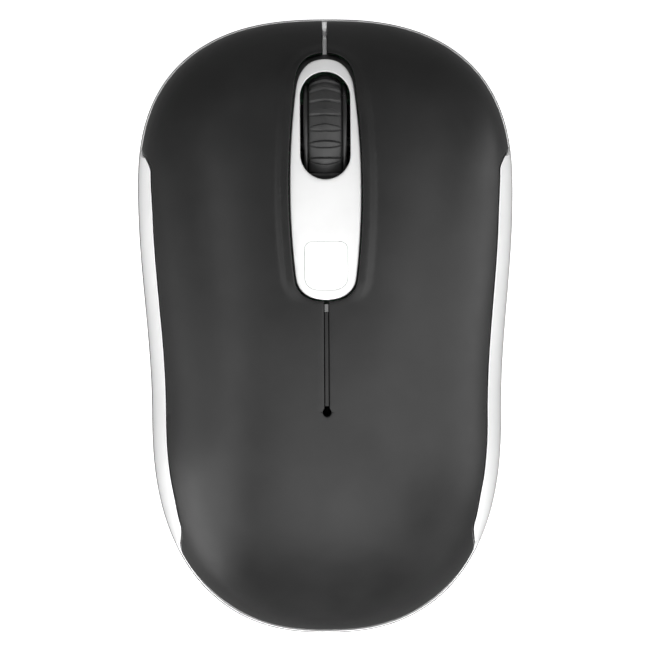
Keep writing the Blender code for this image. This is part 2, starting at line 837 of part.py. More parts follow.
def make_glides(shade):
    names = ("front_glide", "rear_glide_left", "rear_glide_right")
    for name, outline in zip(names, glide_outlines(0.0)):
        prism(name, outline, 0, GLIDE_HEIGHT, shade)


def door_outline(grow):
    """Plan outline of the door: nearly square at its hinge, rounder at its rear."""
    half = DOOR_HALF + grow
    front = rounded_box(half, DOOR_FRONT_Y + grow, DOOR_REAR_Y - grow, DOOR_HINGE_CORNER + grow)
    rear = rounded_box(half, DOOR_FRONT_Y + grow, DOOR_REAR_Y - grow, DOOR_CORNER + grow)
    return front[:len(front) // 2] + rear[len(rear) // 2:]


def make_door(shade):
    """Flat battery door with a round front edge that turns about the hinge line."""
    bm = bmesh.new()
    half = DOOR_THICKNESS / 2
    profile = [(DOOR_REAR_Y, UNDERSIDE_Z), (DOOR_FRONT_Y - half, UNDERSIDE_Z)]
    for angle in (-54, -18, 18, 54):
        turn = math.radians(angle)
        y = DOOR_FRONT_Y - half + half * math.cos(turn)
        profile.append((y, UNDERSIDE_Z + half + half * math.sin(turn)))
    profile.append((DOOR_FRONT_Y - half, UNDERSIDE_Z + DOOR_THICKNESS))
    profile.append((DOOR_REAR_Y, UNDERSIDE_Z + DOOR_THICKNESS))
    sides = []
    for x in (-DOOR_HALF, DOOR_HALF):
        sides.append([bm.verts.new((x, y, z)) for y, z in profile])
    for index in range(len(profile)):
        other = (index + 1) % len(profile)
        bm.faces.new((sides[0][index], sides[0][other], sides[1][other], sides[1][index]))
    bm.faces.new(list(reversed(sides[0])))
    bm.faces.new(sides[1])
    hinge = (0, DOOR_FRONT_Y - half, UNDERSIDE_Z + half)
    door = new_object("battery_door", bm, shade, hinge)
    tool = prism("door_corner_tool", door_outline(0.01), -3, 5, shade)
    combine(door, tool, "INTERSECT")
    return door


# ---------------------------------------------------------------------------------- the wheel

def make_tyre(shade):
    """Crowned rubber band with raised cross ribs."""
    axle = (0, WHEEL_Y, WHEEL_Z)
    bm = bmesh.new()
    rings = []
    pitch = 2 * math.pi / RIB_COUNT
    land = 0.36 * pitch
    flank = 0.07 * pitch
    for rib in range(RIB_COUNT):
        marks = [(0.0, RIB_HEIGHT), (land, RIB_HEIGHT), (land + flank, 0), (pitch - flank, 0)]
        for offset, height in marks:
            angle = rib * pitch + offset
            profile = [(-TYRE_HALF, TYRE_INNER)]
            for share in (-1.0, -0.55, 0.55, 1.0):
                radius = TYRE_RADIUS - RIB_HEIGHT + height - TYRE_CROWN * abs(share) ** 2
                profile.append((share * TYRE_HALF, radius))
            profile.append((TYRE_HALF, TYRE_INNER))
            ring = []
            for x, radius in profile:
                ring.append(bm.verts.new((x, radius * math.sin(angle), radius * math.cos(angle))))
            rings.append(ring)
    bridge_rings(bm, rings)
    bm.transform(Matrix.Translation(Vector(axle)))
    return new_object("wheel_tyre", bm, shade, axle)


def make_wheel_hub(shade):
    axle = (0, WHEEL_Y, WHEEL_Z)
    seat = TYRE_INNER - GAP
    flange = TYRE_HALF + GAP
    profile = [(AXLE_LEFT_X, 0), (AXLE_LEFT_X, AXLE_RADIUS), (-RIM_HALF, AXLE_RADIUS)]
    profile += [(-RIM_HALF, 3.0), (-1.6, 3.6), (-1.6, 6.4), (-RIM_HALF, 7.0)]
    profile += [(-RIM_HALF, RIM_RADIUS), (-flange, RIM_RADIUS), (-flange, seat)]
    right = [(-along, radius) for along, radius in reversed(profile[3:])]
    profile += right
    profile += [(RIM_HALF, AXLE_RADIUS), (AXLE_RIGHT_X, AXLE_RADIUS), (AXLE_RIGHT_X, 0)]
    return turned("wheel_hub", profile, shade, axle, "X", 32, origin=axle)


def make_encoder(shade, rotor_shade):
    low = (ENCODER_LEFT_X, WHEEL_Y - ENCODER_HALF_DEPTH, PARTS_Z)
    high = (ENCODER_RIGHT_X, WHEEL_Y + ENCODER_HALF_DEPTH, ENCODER_TOP_Z)
    body = block("scroll_encoder", low, high, shade, 0.3)
    slot = rounded_slot(ROTOR_RADIUS + GAP, WHEEL_TRAVEL + 0.1)
    tool = prism("rotor_slot_tool", slot, -14, -5, shade)
    tool.matrix_world = Matrix.Translation(Vector((0, WHEEL_Y, WHEEL_Z)) * MM) @ upright_to_x()
    cut(body, tool)
    axle = (0, WHEEL_Y, WHEEL_Z)
    left = ENCODER_LEFT_X + GAP
    right = ENCODER_RIGHT_X - GAP
    rotor = rod("encoder_rotor", ROTOR_RADIUS, left, right, rotor_shade, axle, "X", 20, axle)
    bore = rod("rotor_bore_tool", AXLE_RADIUS + GAP, -14, -5, rotor_shade, axle, "X", 16)
    cut(rotor, bore)


def rounded_slot(radius, drop, steps=10):
    """Upright slot outline: local x is across, local y is up."""
    points = []
    for index in range(steps + 1):
        angle = math.pi * index / steps
        points.append((radius * math.cos(angle), radius * math.sin(angle)))
    for index in range(steps + 1):
        angle = math.pi * (1 + index / steps)
        points.append((radius * math.cos(angle), -drop + radius * math.sin(angle)))
    return points


def upright_to_x():
    """Turns local x, y, z into world y, z, x."""
    return Matrix(((0, 0, 1, 0), (1, 0, 0, 0), (0, 1, 0, 0), (0, 0, 0, 1)))


def make_holder(shade):
    """Sliding bearing at the right end of the axle, standing over the middle switch."""
    low = (HOLDER_LEFT_X, WHEEL_Y - HOLDER_HALF_DEPTH, HOLDER_BOTTOM_Z)
    high = (HOLDER_RIGHT_X, WHEEL_Y + HOLDER_HALF_DEPTH, HOLDER_TOP_Z)
    holder = block("wheel_holder", low, high, shade, 0.3)
    axle = (0, WHEEL_Y, WHEEL_Z)
    cut(holder, rod("holder_bore_tool", AXLE_RADIUS + GAP, 5, 12, shade, axle, "X", 16))


# ---------------------------------------------------------------------------------- electronics

def make_boards(shade):
    outline = list(BOARD_CORNERS) + [(-x, y) for x, y in reversed(BOARD_CORNERS)]
    board = prism("main_board", outline, BOARD_Z, BOARD_Z + BOARD_THICKNESS, shade)
    above = BOARD_Z + 2 * BOARD_THICKNESS
    well = rounded_box(WELL_HALF, WELL_FRONT_Y, WELL_REAR_Y, 1.0)
    cut(board, prism("wheel_well_tool", well, 0, above, shade))
    half = LIGHT_HOLE_HALF
    light_hole = rounded_box(half, SENSOR_Y + half, SENSOR_Y - half, 1.0)
    cut(board, prism("light_hole_tool", light_hole, 0, above, shade))
    half_x, half_y = KEY_BOARD_HALF
    key_outline = rounded_box(half_x, KEY_Y + half_y, KEY_Y - half_y, 1.0)
    prism("key_board", key_outline, KEY_BOARD_Z, KEY_BOARD_Z + BOARD_THICKNESS, shade)


def make_switches(body_shade, plunger_shade):
    width, depth, height = SWITCH_SIZE
    places = (("left_switch", -SWITCH_X, SWITCH_Y, PLUNGER_Y, PLUNGER_TOP_Z),
              ("right_switch", SWITCH_X, SWITCH_Y, PLUNGER_Y, PLUNGER_TOP_Z),
              ("middle_switch", MIDDLE_SWITCH_X, WHEEL_Y, WHEEL_Y, HOLDER_BOTTOM_Z - GAP))
    for name, x, y, plunger_y, top in places:
        low = (x - width / 2, y - depth / 2, PARTS_Z)
        body = block(name, low, (x + width / 2, y + depth / 2, PARTS_Z + height), body_shade, 0.3)
        well = (x, plunger_y, 0)
        well_bottom = SWITCH_TOP_Z - WELL_DEPTH
        above = PLUNGER_TOP_Z + 2
        tool = rod(f"{name}_well_tool", WELL_RADIUS, well_bottom, above, body_shade, well, segments=12)
        cut(body, tool)
        rod(f"{name}_plunger", PLUNGER_RADIUS, well_bottom + WELL_PLAY, top, plunger_shade, well,
            segments=12, origin=(x, plunger_y, SWITCH_TOP_Z))


def make_key_switch(body_shade, plunger_shade):
    base = KEY_BOARD_Z + BOARD_THICKNESS + GAP
    top = base + KEY_SWITCH_HEIGHT
    half = KEY_SWITCH_HALF
    body = block("key_switch", (-half, KEY_Y - half, base), (half, KEY_Y + half, top), body_shade, 0.3)
    place = (0, KEY_Y, 0)
    well_bottom = top - WELL_DEPTH
    well = KEY_PLUNGER_RADIUS + GAP
    cut(body, rod("key_well_tool", well, well_bottom, top + 3, body_shade, place, segments=16))
    rod("key_switch_plunger", KEY_PLUNGER_RADIUS, well_bottom + WELL_PLAY, top + KEY_PLUNGER_STANDS,
        plunger_shade, place, segments=16, origin=(0, KEY_Y, top))


def make_optics(chip, clear, led, clip):
    y = SENSOR_Y
    half_x, half_y = CHIP_HALF
    top = PARTS_Z + CHIP_HEIGHT
    block("sensor_chip", (-half_x, y - half_y, PARTS_Z), (half_x, y + half_y, top), chip, 0.3)
    outline = rounded_box(LENS_HALF, y + LENS_FRONT, y - LENS_REAR, 1.0)
    plate = prism("sensor_lens", outline, LENS_BOTTOM_Z, LENS_TOP_Z, clear)
    above = LENS_TOP_Z + 1
    cut(plate, rod("lens_dimple_tool", DIMPLE_RADIUS, DIMPLE_Z, above, clear, (0, y, 0), segments=16))
    turned("sensor_led", LED_PROFILE, led, (LED_X, y, PARTS_Z + LED_RISE), "X", 16)
    low = (CLIP_LEFT_X, y - CLIP_HALF_DEPTH, PARTS_Z)
    block("led_clip", low, (CLIP_RIGHT_X, y + CLIP_HALF_DEPTH, PARTS_Z + CLIP_HEIGHT), clip, 0.2)


def make_board_parts(chip, metal, sleeve, ribbon):
    block("radio_chip", (-16.5, 13.5, PARTS_Z), (-11.5, 18.5, PARTS_Z + 0.9), chip, 0.1)
    block("crystal", (-15.6, 21.0, PARTS_Z), (-12.4, 23.5, PARTS_Z + 0.8), metal, 0.1)
    profile = [(0, 0), (0, 2.0), (0.5, 2.0), (0.8, 1.8), (1.1, 2.0), (5.2, 2.0), (5.4, 1.8), (5.4, 0)]
    turned("capacitor", profile, sleeve, (17.6, 22.5, PARTS_Z), "Z", 20)
    block("board_ribbon", (-10, 11.0, PARTS_Z), (-7, 11.4, KEY_BOARD_Z + 1.0), ribbon)
    low = (KNOB_X - 4, KNOB_Y - 2, POWER_SWITCH_Z)
    block("power_switch", low, (KNOB_X + 4, KNOB_Y + 2, BOARD_Z - GAP), metal, 0.2)


def make_power_knob(shade):
    middle = KNOB_X - KNOB_TRAVEL / 2
    low = (middle - KNOB_LENGTH / 2, KNOB_Y - KNOB_WIDTH / 2, UNDERSIDE_Z + 0.5)
    high = (middle + KNOB_LENGTH / 2, KNOB_Y + KNOB_WIDTH / 2, POWER_SWITCH_Z - GAP)
    block("power_switch_knob", low, high, shade, 0.25, (middle, KNOB_Y, low[2]))


# ---------------------------------------------------------------------------------- power

def make_cell(shade):
    body = CELL_BODY_LENGTH
    radius = CELL_RADIUS
    end = radius - CELL_END_ROUND
    tip = body + CELL_NUB_LENGTH
    profile = [(0, 0), (0, end), (0.5, radius), (body - 0.5, radius), (body, end)]
    profile += [(body, CELL_NUB_RADIUS), (tip, CELL_NUB_RADIUS), (tip, 0)]
    turned("battery", profile, shade, (CELL_X, CELL_REAR_Y, CELL_Z), "Y", 32)


def make_contacts(metal):
    nub_y = CELL_REAR_Y + CELL_BODY_LENGTH + CELL_NUB_LENGTH
    front = nub_y + GAP
    low = (CELL_X - CONTACT_HALF, front, CONTACT_BOTTOM_Z)
    high = (CELL_X + CONTACT_HALF, front + CONTACT_THICKNESS, CONTACT_TOP_Z)
    block("flat_contact", low, high, metal)
    wire = SPRING_WIRE
    steps = 40
    sides = 6
    bm = bmesh.new()
    rings = []
    for index in range(steps + 1):
        share = index / steps
        angle = 2 * math.pi * SPRING_TURNS * share
        radius = mix(SPRING_OUTER, SPRING_INNER, share)
        y = CELL_REAR_Y - GAP - wire - mix(SPRING_RISE, 0.0, share)
        ring = []
        for corner in range(sides):
            bend = 2 * math.pi * corner / sides
            out = radius + wire * math.cos(bend)
            ring.append(bm.verts.new((CELL_X + out * math.cos(angle), y + wire * math.sin(bend),
                                      CELL_Z + out * math.sin(angle))))
        rings.append(ring)
    for first, second in zip(rings, rings[1:]):
        for corner in range(sides):
            other = (corner + 1) % sides
            bm.faces.new((first[corner], first[other], second[other], second[corner]))
    bm.faces.new(rings[0])
    bm.faces.new(rings[-1])
    new_object("spring_contact", bm, metal)


def make_tray(shade):
    """Roof and walls of the battery compartment, open below and to the rear."""
    outer_half = DOOR_HALF + GAP + TRAY_WALL
    low = FLOOR_Z + GAP
    tray = block("battery_tray", (-outer_half, TRAY_REAR_Y, low), (outer_half, TRAY_FRONT_Y,
                 TRAY_TOP_Z), shade)
    inner_half = outer_half - TRAY_WALL
    hollow = block("tray_hollow_tool", (-inner_half, TRAY_REAR_Y - 3, low - 3),
                   (inner_half, TRAY_FRONT_Y - TRAY_WALL, TRAY_TOP_Z - TRAY_WALL), shade)
    cut(tray, hollow)


def make_receiver(shade, metal):
    block("receiver_cap", (4.3, -14.5, 3.6), (10.3, -8.5, 17.6), shade, 0.5)
    block("receiver_plug", (5.0, -27.0, 4.6), (9.6, -14.8, 16.6), metal, 0.2)


def make_screws(metal):
    for side, name in ((-1, "case_screw_left"), (1, "case_screw_right")):
        turned(name, SCREW_PROFILE, metal, (side * SCREW_X, SCREW_Y, 0), "Z", 16)


# ---------------------------------------------------------------------------------- assembly

def main():
    clear_scene()
    matt_black = material("matt_black_plastic", 0.045, 0.5)
    case_black = material("case_black_plastic", 0.02, 0.45)
    gloss_white = material("gloss_white_plastic", 0.85, 0.12)
    rubber = material("wheel_rubber", 0.03, 0.7)
    inner_black = material("inner_plastic", 0.03, 0.55)
    switch_red = material("plunger_plastic", 0, 0.5, colour=(0.6, 0.05, 0.03))
    board_green = material("circuit_board", 0, 0.4, colour=(0.02, 0.18, 0.06))
    chip_black = material("chip_epoxy", 0.02, 0.5)
    clear = material("clear_plastic", 0.8, 0.05)
    led_red = material("led_resin", 0, 0.15, colour=(0.7, 0.02, 0.02))
    steel = material("plated_steel", 0.6, 0.3, 1.0)
    cell_wrap = material("battery_wrap", 0, 0.35, 0.3, colour=(0.05, 0.09, 0.2))
    glide_white = material("glide_plastic", 0.7, 0.35)

    make_cover(matt_black)
    make_button("left_button", -1, matt_black)
    make_button("right_button", 1, matt_black)
    make_trim(gloss_white)
    make_key(gloss_white)
    make_frame(gloss_white)
    make_case(case_black)
    make_glides(glide_white)
    make_door(case_black)
    make_tyre(rubber)
    make_wheel_hub(inner_black)
    make_encoder(chip_black, glide_white)
    make_holder(inner_black)
    make_boards(board_green)
    make_switches(chip_black, switch_red)
    make_key_switch(steel, chip_black)
    make_optics(chip_black, clear, led_red, inner_black)
    make_board_parts(chip_black, steel, inner_black, glide_white)
    make_power_knob(glide_white)
    make_cell(cell_wrap)
    make_contacts(steel)
    make_tray(inner_black)
    make_receiver(inner_black, steel)
    make_screws(steel)


main()
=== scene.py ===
"""Looks of the compact wireless mouse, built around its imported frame.

Sizes are millimetres until a mesh is made. +Y points to the nose and +Z up.
"""
import json
import math

import bmesh
import bpy
import numpy as np
from mathutils import Matrix, Vector
from mathutils.geometry import delaunay_2d_cdt


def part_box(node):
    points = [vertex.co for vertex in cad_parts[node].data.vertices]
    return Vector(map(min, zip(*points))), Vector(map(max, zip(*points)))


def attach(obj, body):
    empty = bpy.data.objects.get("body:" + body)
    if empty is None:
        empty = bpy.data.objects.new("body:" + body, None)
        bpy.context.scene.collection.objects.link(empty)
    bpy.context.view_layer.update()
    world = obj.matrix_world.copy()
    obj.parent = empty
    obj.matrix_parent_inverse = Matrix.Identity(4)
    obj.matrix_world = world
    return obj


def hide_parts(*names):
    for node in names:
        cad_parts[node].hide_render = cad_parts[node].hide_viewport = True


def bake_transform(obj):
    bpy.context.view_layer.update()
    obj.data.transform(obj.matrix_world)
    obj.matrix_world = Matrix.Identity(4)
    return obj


MM = 0.001

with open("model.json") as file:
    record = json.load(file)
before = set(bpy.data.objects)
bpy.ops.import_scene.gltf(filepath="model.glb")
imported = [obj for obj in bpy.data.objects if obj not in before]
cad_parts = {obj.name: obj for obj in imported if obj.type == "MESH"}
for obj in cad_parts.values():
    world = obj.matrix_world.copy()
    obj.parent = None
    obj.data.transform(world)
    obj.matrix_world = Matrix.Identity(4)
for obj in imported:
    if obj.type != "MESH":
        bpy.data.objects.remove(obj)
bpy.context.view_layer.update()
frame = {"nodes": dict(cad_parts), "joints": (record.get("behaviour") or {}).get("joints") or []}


def node_box(name):
    low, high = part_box(name)
    return low / MM, high / MM


def joint(name):
    return next(entry for entry in frame["joints"] if entry["name"] == name)


def joint_place(name):
    return Vector(joint(name)["pos_m"]) / MM


# Sizes taken from the frame
RING_LOW, RING_HIGH = node_box("mid_frame")
TRIM_LOW, TRIM_HIGH = node_box("center_trim")
KEY_LOW, KEY_HIGH = node_box("dpi_key")
AXLE = joint_place("wheel_spin")
FLEX_Y = joint_place("left_button_press").y
HALF_LENGTH = RING_HIGH.y
FRONT_HALF = RING_HIGH.x
PEAK_Z = node_box("top_cover")[1].z

# Shape of the body, the same rules as the frame's
WAIST_HALF = FRONT_HALF - 2.05
WIDEST_Y = 21.8
WAIST_Y = -14.0
NOSE_POWER = 2.5
TAIL_POWER = 2.4
SKIRT_Z = 8.5
COVER_BOTTOM_Z = 8.5
PEAK_Y = -10.0
PEAK_RISE = PEAK_Z - SKIRT_Z
FRONT_FALL = 0.0053
REAR_FALL = 0.005
NOSE_ROUND = 14.0
TAIL_ROUND = 30.0
DOME_POWER = 2.5
WALL = 1.5
NOSE_EDGE_INSET = 0.3
TAIL_EDGE_INSET = 0.5
TAIL_EDGE_START_Y = -36.0
TAIL_EDGE_REACH = 9.0
EDGE_STEP = 0.04
RAIL_INSET = 2.4
RAIL_GAP = 0.16
RAIL_FRONT_Y = 28.2
RAIL_REAR_Y = -36.6
RAIL_DELAY = 0.3
RAIL_FRONT_ROUND = 2.7    # length of the round shoulder at the rail's front
RAIL_FRONT_POWER = 1.3
RAIL_FRONT_TAPER = 9.0    # length of the slow widening behind that shoulder
RAIL_FRONT_TAPER_START = 1.3
RAIL_FRONT_TAPER_SHARE = 0.15
RAIL_REAR_ROUND = 3.6
RAIL_REAR_TAPER = 6.5
RAIL_REAR_TAPER_START = 2.6
RAIL_REAR_TAPER_SHARE = 0.2
LEDGE_Z = 7.6
LEDGE_INSET = 2.15
LIP_INSET = 0.31
NOSE_SIDE_INSET = 0.16
RAIL_SIDE_INSET = 0.13
UPSTAND_Z = 9.6
UPSTAND_INSET = 2.6

# Trim, its collar and the slots
TRIM_GAP = 0.3
TRIM_CENTRE_Y = 30.0
TRIM_WIDEST_Y = 22.0
TRIM_TAPER = 0.0041
TRIM_FRONT_ROUND = 5.0
TRIM_REAR_ROUND = 3.8
TRIM_CROWN = 0.3
TRIM_WALL = 1.2
TRIM_SINK = 0.35
COLLAR_RISE = 0.34
COLLAR_FLAT = 1.3
COLLAR_WIDTH = 2.2
COLLAR_END_Y = 3.5
COLLAR_END_REACH = 4.0
COLLAR_POWER = 1.2
OPENING_WIDENING = 0.75   # extra gap ahead of the trim
OPENING_WIDEN_Y = 36.5
OPENING_WIDEN_REACH = 6.0
SLOT_HALF = 0.4
RIB_SIDE = 0.34
RELIEF_RADIUS = 0.68
KEY_CORNER = 1.2
KEY_REAR_ROUND = 2.6
KEY_REAR_POWER = 3.0
KEY_GROW = 0.08           # the key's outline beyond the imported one
KEY_HOLE_GROW = 0.13      # the trim's hole around it
KEY_ROLL = 0.05
TRIM_ROLL = 0.25
WINDOW_HALF = 4.0
WINDOW_FRONT_Y = 40.5
WINDOW_REAR_Y = 23.3
EDGE_ROLL = 0.2

# Meshing
TAIL_TURN = 3.0           # the turn at which the outline reaches the tail
SAME_POINT = 1e-6
BATCH = 4000              # how many points distance_to handles at a time
GRID_ROW = 0.866          # row spacing of a grid of near-equal triangles
ROLL_STEPS = (0.134, 0.5, 1.0)
LOOP_SPACING = 0.4
SIDE_SAMPLES = 801
TURN_SAMPLES = 6000
SEAM_END = 0.1            # the rolled ends of the seam keep their own normals


# ---------------- formulas

def smooth(value):
    value = np.clip(value, 0.0, 1.0)
    return value * value * (3 - 2 * value)


def mix(low, high, share):
    return low + (high - low) * share


def rounding(ratio, power):
    """Quarter of a superellipse: 1 in the middle, 0 at the edge."""
    return np.maximum(0.0, 1 - np.minimum(1.0, np.abs(ratio)) ** power) ** (1 / power)


def half_width(y, inset=0.0):
    """Half the width of the plan outline, pulled in by inset."""
    nose_reach = HALF_LENGTH - WIDEST_Y - inset
    tail_reach = HALF_LENGTH + WAIST_Y - inset
    front = (FRONT_HALF - inset) * rounding((y - WIDEST_Y) / nose_reach, NOSE_POWER)
    rear = (WAIST_HALF - inset) * rounding((WAIST_Y - y) / tail_reach, TAIL_POWER)
    swing = np.cos(np.pi * (WIDEST_Y - y) / (WIDEST_Y - WAIST_Y))
    middle = (FRONT_HALF + WAIST_HALF) / 2 - inset + (FRONT_HALF - WAIST_HALF) / 2 * swing
    return np.where(y > WIDEST_Y, front, np.where(y < WAIST_Y, rear, middle))


def crest(y, inset, sink):
    """Rise of the dome above the skirt on the centre line."""
    fall = np.where(y > PEAK_Y, FRONT_FALL, REAR_FALL)
    length = np.where(y > PEAK_Y, NOSE_ROUND, TAIL_ROUND)
    rise = PEAK_RISE - sink - fall * (y - PEAK_Y) ** 2
    from_end = np.clip(HALF_LENGTH - inset - np.abs(y), 0.0, length)
    return rise * rounding(1 - from_end / length, DOME_POWER)


def dome(x, y, inset=NOSE_EDGE_INSET, sink=0.0):
    width = np.maximum(0.001, half_width(y, inset))
    return SKIRT_Z + crest(y, inset, sink) * rounding(x / width, DOME_POWER)


def rim_points(turns, inset=0.0):
    """Points of the right half outline: turn 0 is the nose, 1 the widest place, 3 the tail."""
    turns = np.asarray(turns, float)
    inset = np.broadcast_to(np.asarray(inset, float), turns.shape)
    angle = np.clip(turns, 0, 1) * np.pi / 2
    nose_x = (FRONT_HALF - inset) * np.sin(angle) ** (2 / NOSE_POWER)
    nose_reach = HALF_LENGTH - WIDEST_Y - inset
    nose_y = WIDEST_Y + nose_reach * np.maximum(0, np.cos(angle)) ** (2 / NOSE_POWER)
    angle = np.clip(turns - 2, 0, 1) * np.pi / 2
    tail_x = (WAIST_HALF - inset) * np.maximum(0, np.cos(angle)) ** (2 / TAIL_POWER)
    tail_reach = HALF_LENGTH + WAIST_Y - inset
    tail_y = WAIST_Y - tail_reach * np.sin(angle) ** (2 / TAIL_POWER)
    middle_y = mix(WIDEST_Y, WAIST_Y, np.clip(turns - 1, 0, 1))
    middle_x = half_width(middle_y, inset)
    x = np.where(turns < 1, nose_x, np.where(turns > 2, tail_x, middle_x))
    y = np.where(turns < 1, nose_y, np.where(turns > 2, tail_y, middle_y))
    return np.column_stack([x, y])


def length_along(points):
    """Length of the line up to each of its points."""
    steps = np.linalg.norm(np.diff(points, axis=0), axis=1)
    return np.concatenate([[0.0], np.cumsum(steps)])


def even_line(points, spacing):
    """The same line with points at even steps of about the given spacing."""
    points = np.asarray(points, float)
    along = length_along(points)
    count = max(2, int(round(along[-1] / spacing)) + 1)
    wanted = np.linspace(0, along[-1], count)
    return np.column_stack([np.interp(wanted, along, points[:, axis]) for axis in (0, 1)])


def even_turns(start, end, spacing):
    """Turns of outline points at even steps of about the given spacing."""
    dense = np.linspace(start, end, TURN_SAMPLES)
    along = length_along(rim_points(dense))
    count = int(round(along[-1] / spacing)) + 1
    return np.interp(np.linspace(0, along[-1], count), along, dense)


def edge_inset(y):
    """How far the cover's dome ends inside the outline, wider at the tail."""
    return mix(NOSE_EDGE_INSET, TAIL_EDGE_INSET, smooth((TAIL_EDGE_START_Y - y) / TAIL_EDGE_REACH))


def rail_share(y, delay=0.0):
    """0 where the frame is only a ring, 1 where its side rail is fully raised."""
    ahead = RAIL_FRONT_Y - delay - y
    behind = y - RAIL_REAR_Y - delay
    shoulder = rounding(1 - np.clip(ahead / RAIL_FRONT_ROUND, 0, 1), RAIL_FRONT_POWER)
    taper = smooth((ahead - RAIL_FRONT_TAPER_START) / RAIL_FRONT_TAPER)
    front = mix(shoulder, taper, RAIL_FRONT_TAPER_SHARE)
    shoulder = smooth(behind / RAIL_REAR_ROUND)
    taper = smooth((behind - RAIL_REAR_TAPER_START) / RAIL_REAR_TAPER)
    rear = mix(shoulder, taper, RAIL_REAR_TAPER_SHARE)
    return front * rear


def cover_edge_inset(turns):
    """How far the cover's own edge is inside the outline: it gives way to the rails."""
    y = rim_points(turns)[:, 1]
    return mix(edge_inset(y) + EDGE_STEP, RAIL_INSET + RAIL_GAP / 2, rail_share(y))


def turn_at(y):
    """Turn of the outline's point at this y."""
    turns = np.linspace(0, TAIL_TURN, 20001)
    return float(np.interp(-y, -rim_points(turns)[:, 1], turns))


def trim_half(y, grow=0.0):
    """Half the width of the centre trim, grown outwards by grow."""
    front = np.clip(TRIM_HIGH.y + grow - y, 0, TRIM_FRONT_ROUND)
    rear = np.clip(y - TRIM_LOW.y + grow, 0, TRIM_REAR_ROUND)
    width = TRIM_HIGH.x + grow - TRIM_TAPER * (y - TRIM_WIDEST_Y) ** 2
    width = width * rounding(1 - front / TRIM_FRONT_ROUND, DOME_POWER)
    return width * rounding(1 - rear / TRIM_REAR_ROUND, DOME_POWER)


def trim_side(grow):
    """Right side of the trim outline from front to rear."""
    share = (1 - np.cos(np.linspace(0, np.pi, SIDE_SAMPLES))) / 2
    y = mix(TRIM_HIGH.y + grow, TRIM_LOW.y - grow, share)
    return np.column_stack([trim_half(y, grow), y])


def closed(right):
    """Closed loop from its right side and the mirrored left side."""
    left = right[::-1] * (-1, 1)
    inner = left[:, 0] < -SAME_POINT
    return np.vstack([right, left[inner]])


def opening_side():
    """Right side of the hole in the cover that the trim sits in."""
    side = trim_side(TRIM_GAP)
    widening = OPENING_WIDENING * smooth((side[:, 1] - OPENING_WIDEN_Y) / OPENING_WIDEN_REACH)
    centre = np.array([0.0, TRIM_CENTRE_Y])
    away = side - centre
    away /= np.linalg.norm(away, axis=1)[:, None]
    return side + away * widening[:, None]


OPENING_SIDE = opening_side()
COLLAR_LINE = even_line(closed(trim_side(TRIM_GAP)), 0.5)


def distance_to(points, line):
    """Distance from each point to a line of straight pieces."""
    points = np.asarray(points, float)
    result = np.full(len(points), 1e9)
    starts = line[:-1]
    spans = np.diff(line, axis=0)
    squares = np.maximum(1e-12, (spans ** 2).sum(axis=1))
    for begin in range(0, len(points), BATCH):
        part = points[begin:begin + BATCH]
        offset = part[:, None, :] - starts[None, :, :]
        share = np.clip((offset * spans[None]).sum(axis=2) / squares[None], 0, 1)
        gap = offset - share[:, :, None] * spans[None]
        result[begin:begin + BATCH] = np.sqrt((gap ** 2).sum(axis=2)).min(axis=1)
    return result


def distance_to_any(points, lines):
    """Distance from each point to the nearest of several lines."""
    return np.min([distance_to(points, line) for line in lines], axis=0)


def collar(points):
    """Height of the low collar that the cover has around the trim."""
    distance = distance_to(points, COLLAR_LINE)
    inside = np.abs(points[:, 0]) < trim_half(points[:, 1], TRIM_GAP)
    distance = np.where(inside, 0.0, distance)
    fall = np.clip((distance - COLLAR_FLAT) / (COLLAR_WIDTH - COLLAR_FLAT), 0, 1)
    fade = smooth((points[:, 1] - COLLAR_END_Y) / COLLAR_END_REACH)
    return COLLAR_RISE * fade * (1 - fall) ** COLLAR_POWER


def roll(distance, radius=EDGE_ROLL):
    """How far a rounded edge falls at this distance from the edge."""
    inward = np.clip(radius - distance, 0, radius)
    return radius - np.sqrt(np.maximum(0, radius ** 2 - inward ** 2))


def trim_surface(points):
    """Height of the trim's and the key's crowned top."""
    x = points[:, 0]
    y = points[:, 1]
    width = np.maximum(1.0, trim_half(y))
    crown = TRIM_CROWN * (1 - np.minimum(1, np.abs(x) / width) ** 2)
    return dome(x, y) - TRIM_SINK + crown


# ---------------- plan meshes

def inside_loops(points, loops):
    """Even-odd test of points against closed loops."""
    x = points[:, 0]
    y = points[:, 1]
    inside = np.zeros(len(points), bool)
    for loop in loops:
        following = np.roll(loop, -1, axis=0)
        for (ax, ay), (bx, by) in zip(loop, following):
            if ay == by:
                continue
            crosses = (ay > y) != (by > y)
            if not crosses.any():
                continue
            at = ax + (y - ay) * (bx - ax) / (by - ay)
            inside ^= crosses & (x < at)
    return inside


def hexagonal_points(low, high, spacing):
    """Grid of points whose neighbours form near-equal triangles."""
    rows = []
    count = int((high[1] - low[1]) / (spacing * GRID_ROW)) + 1
    for index in range(count):
        y = low[1] + index * spacing * GRID_ROW
        start = low[0] + (index % 2) * spacing / 2
        x = np.arange(start, high[0], spacing)
        rows.append(np.column_stack([x, np.full(len(x), y)]))
    return np.vstack(rows)


def offset_points(line, distances):
    """Points to the left and right of a line at the given distances."""
    tangent = np.gradient(line, axis=0)
    tangent /= np.maximum(1e-9, np.linalg.norm(tangent, axis=1))[:, None]
    normal = np.column_stack([-tangent[:, 1], tangent[:, 0]])
    sides = []
    for distance in distances:
        sides.append(line + normal * distance)
        sides.append(line - normal * distance)
    return np.vstack(sides)


def edge_points(lines, distances):
    """Points along the inner side of rounded edges, none nearer to an edge than it should be."""
    found = []
    for distance in distances:
        points = np.vstack([offset_points(line, [distance]) for line in lines])
        nearest = distance_to_any(points, lines)
        found.append(points[nearest > distance * 0.97])
    return np.vstack(found)


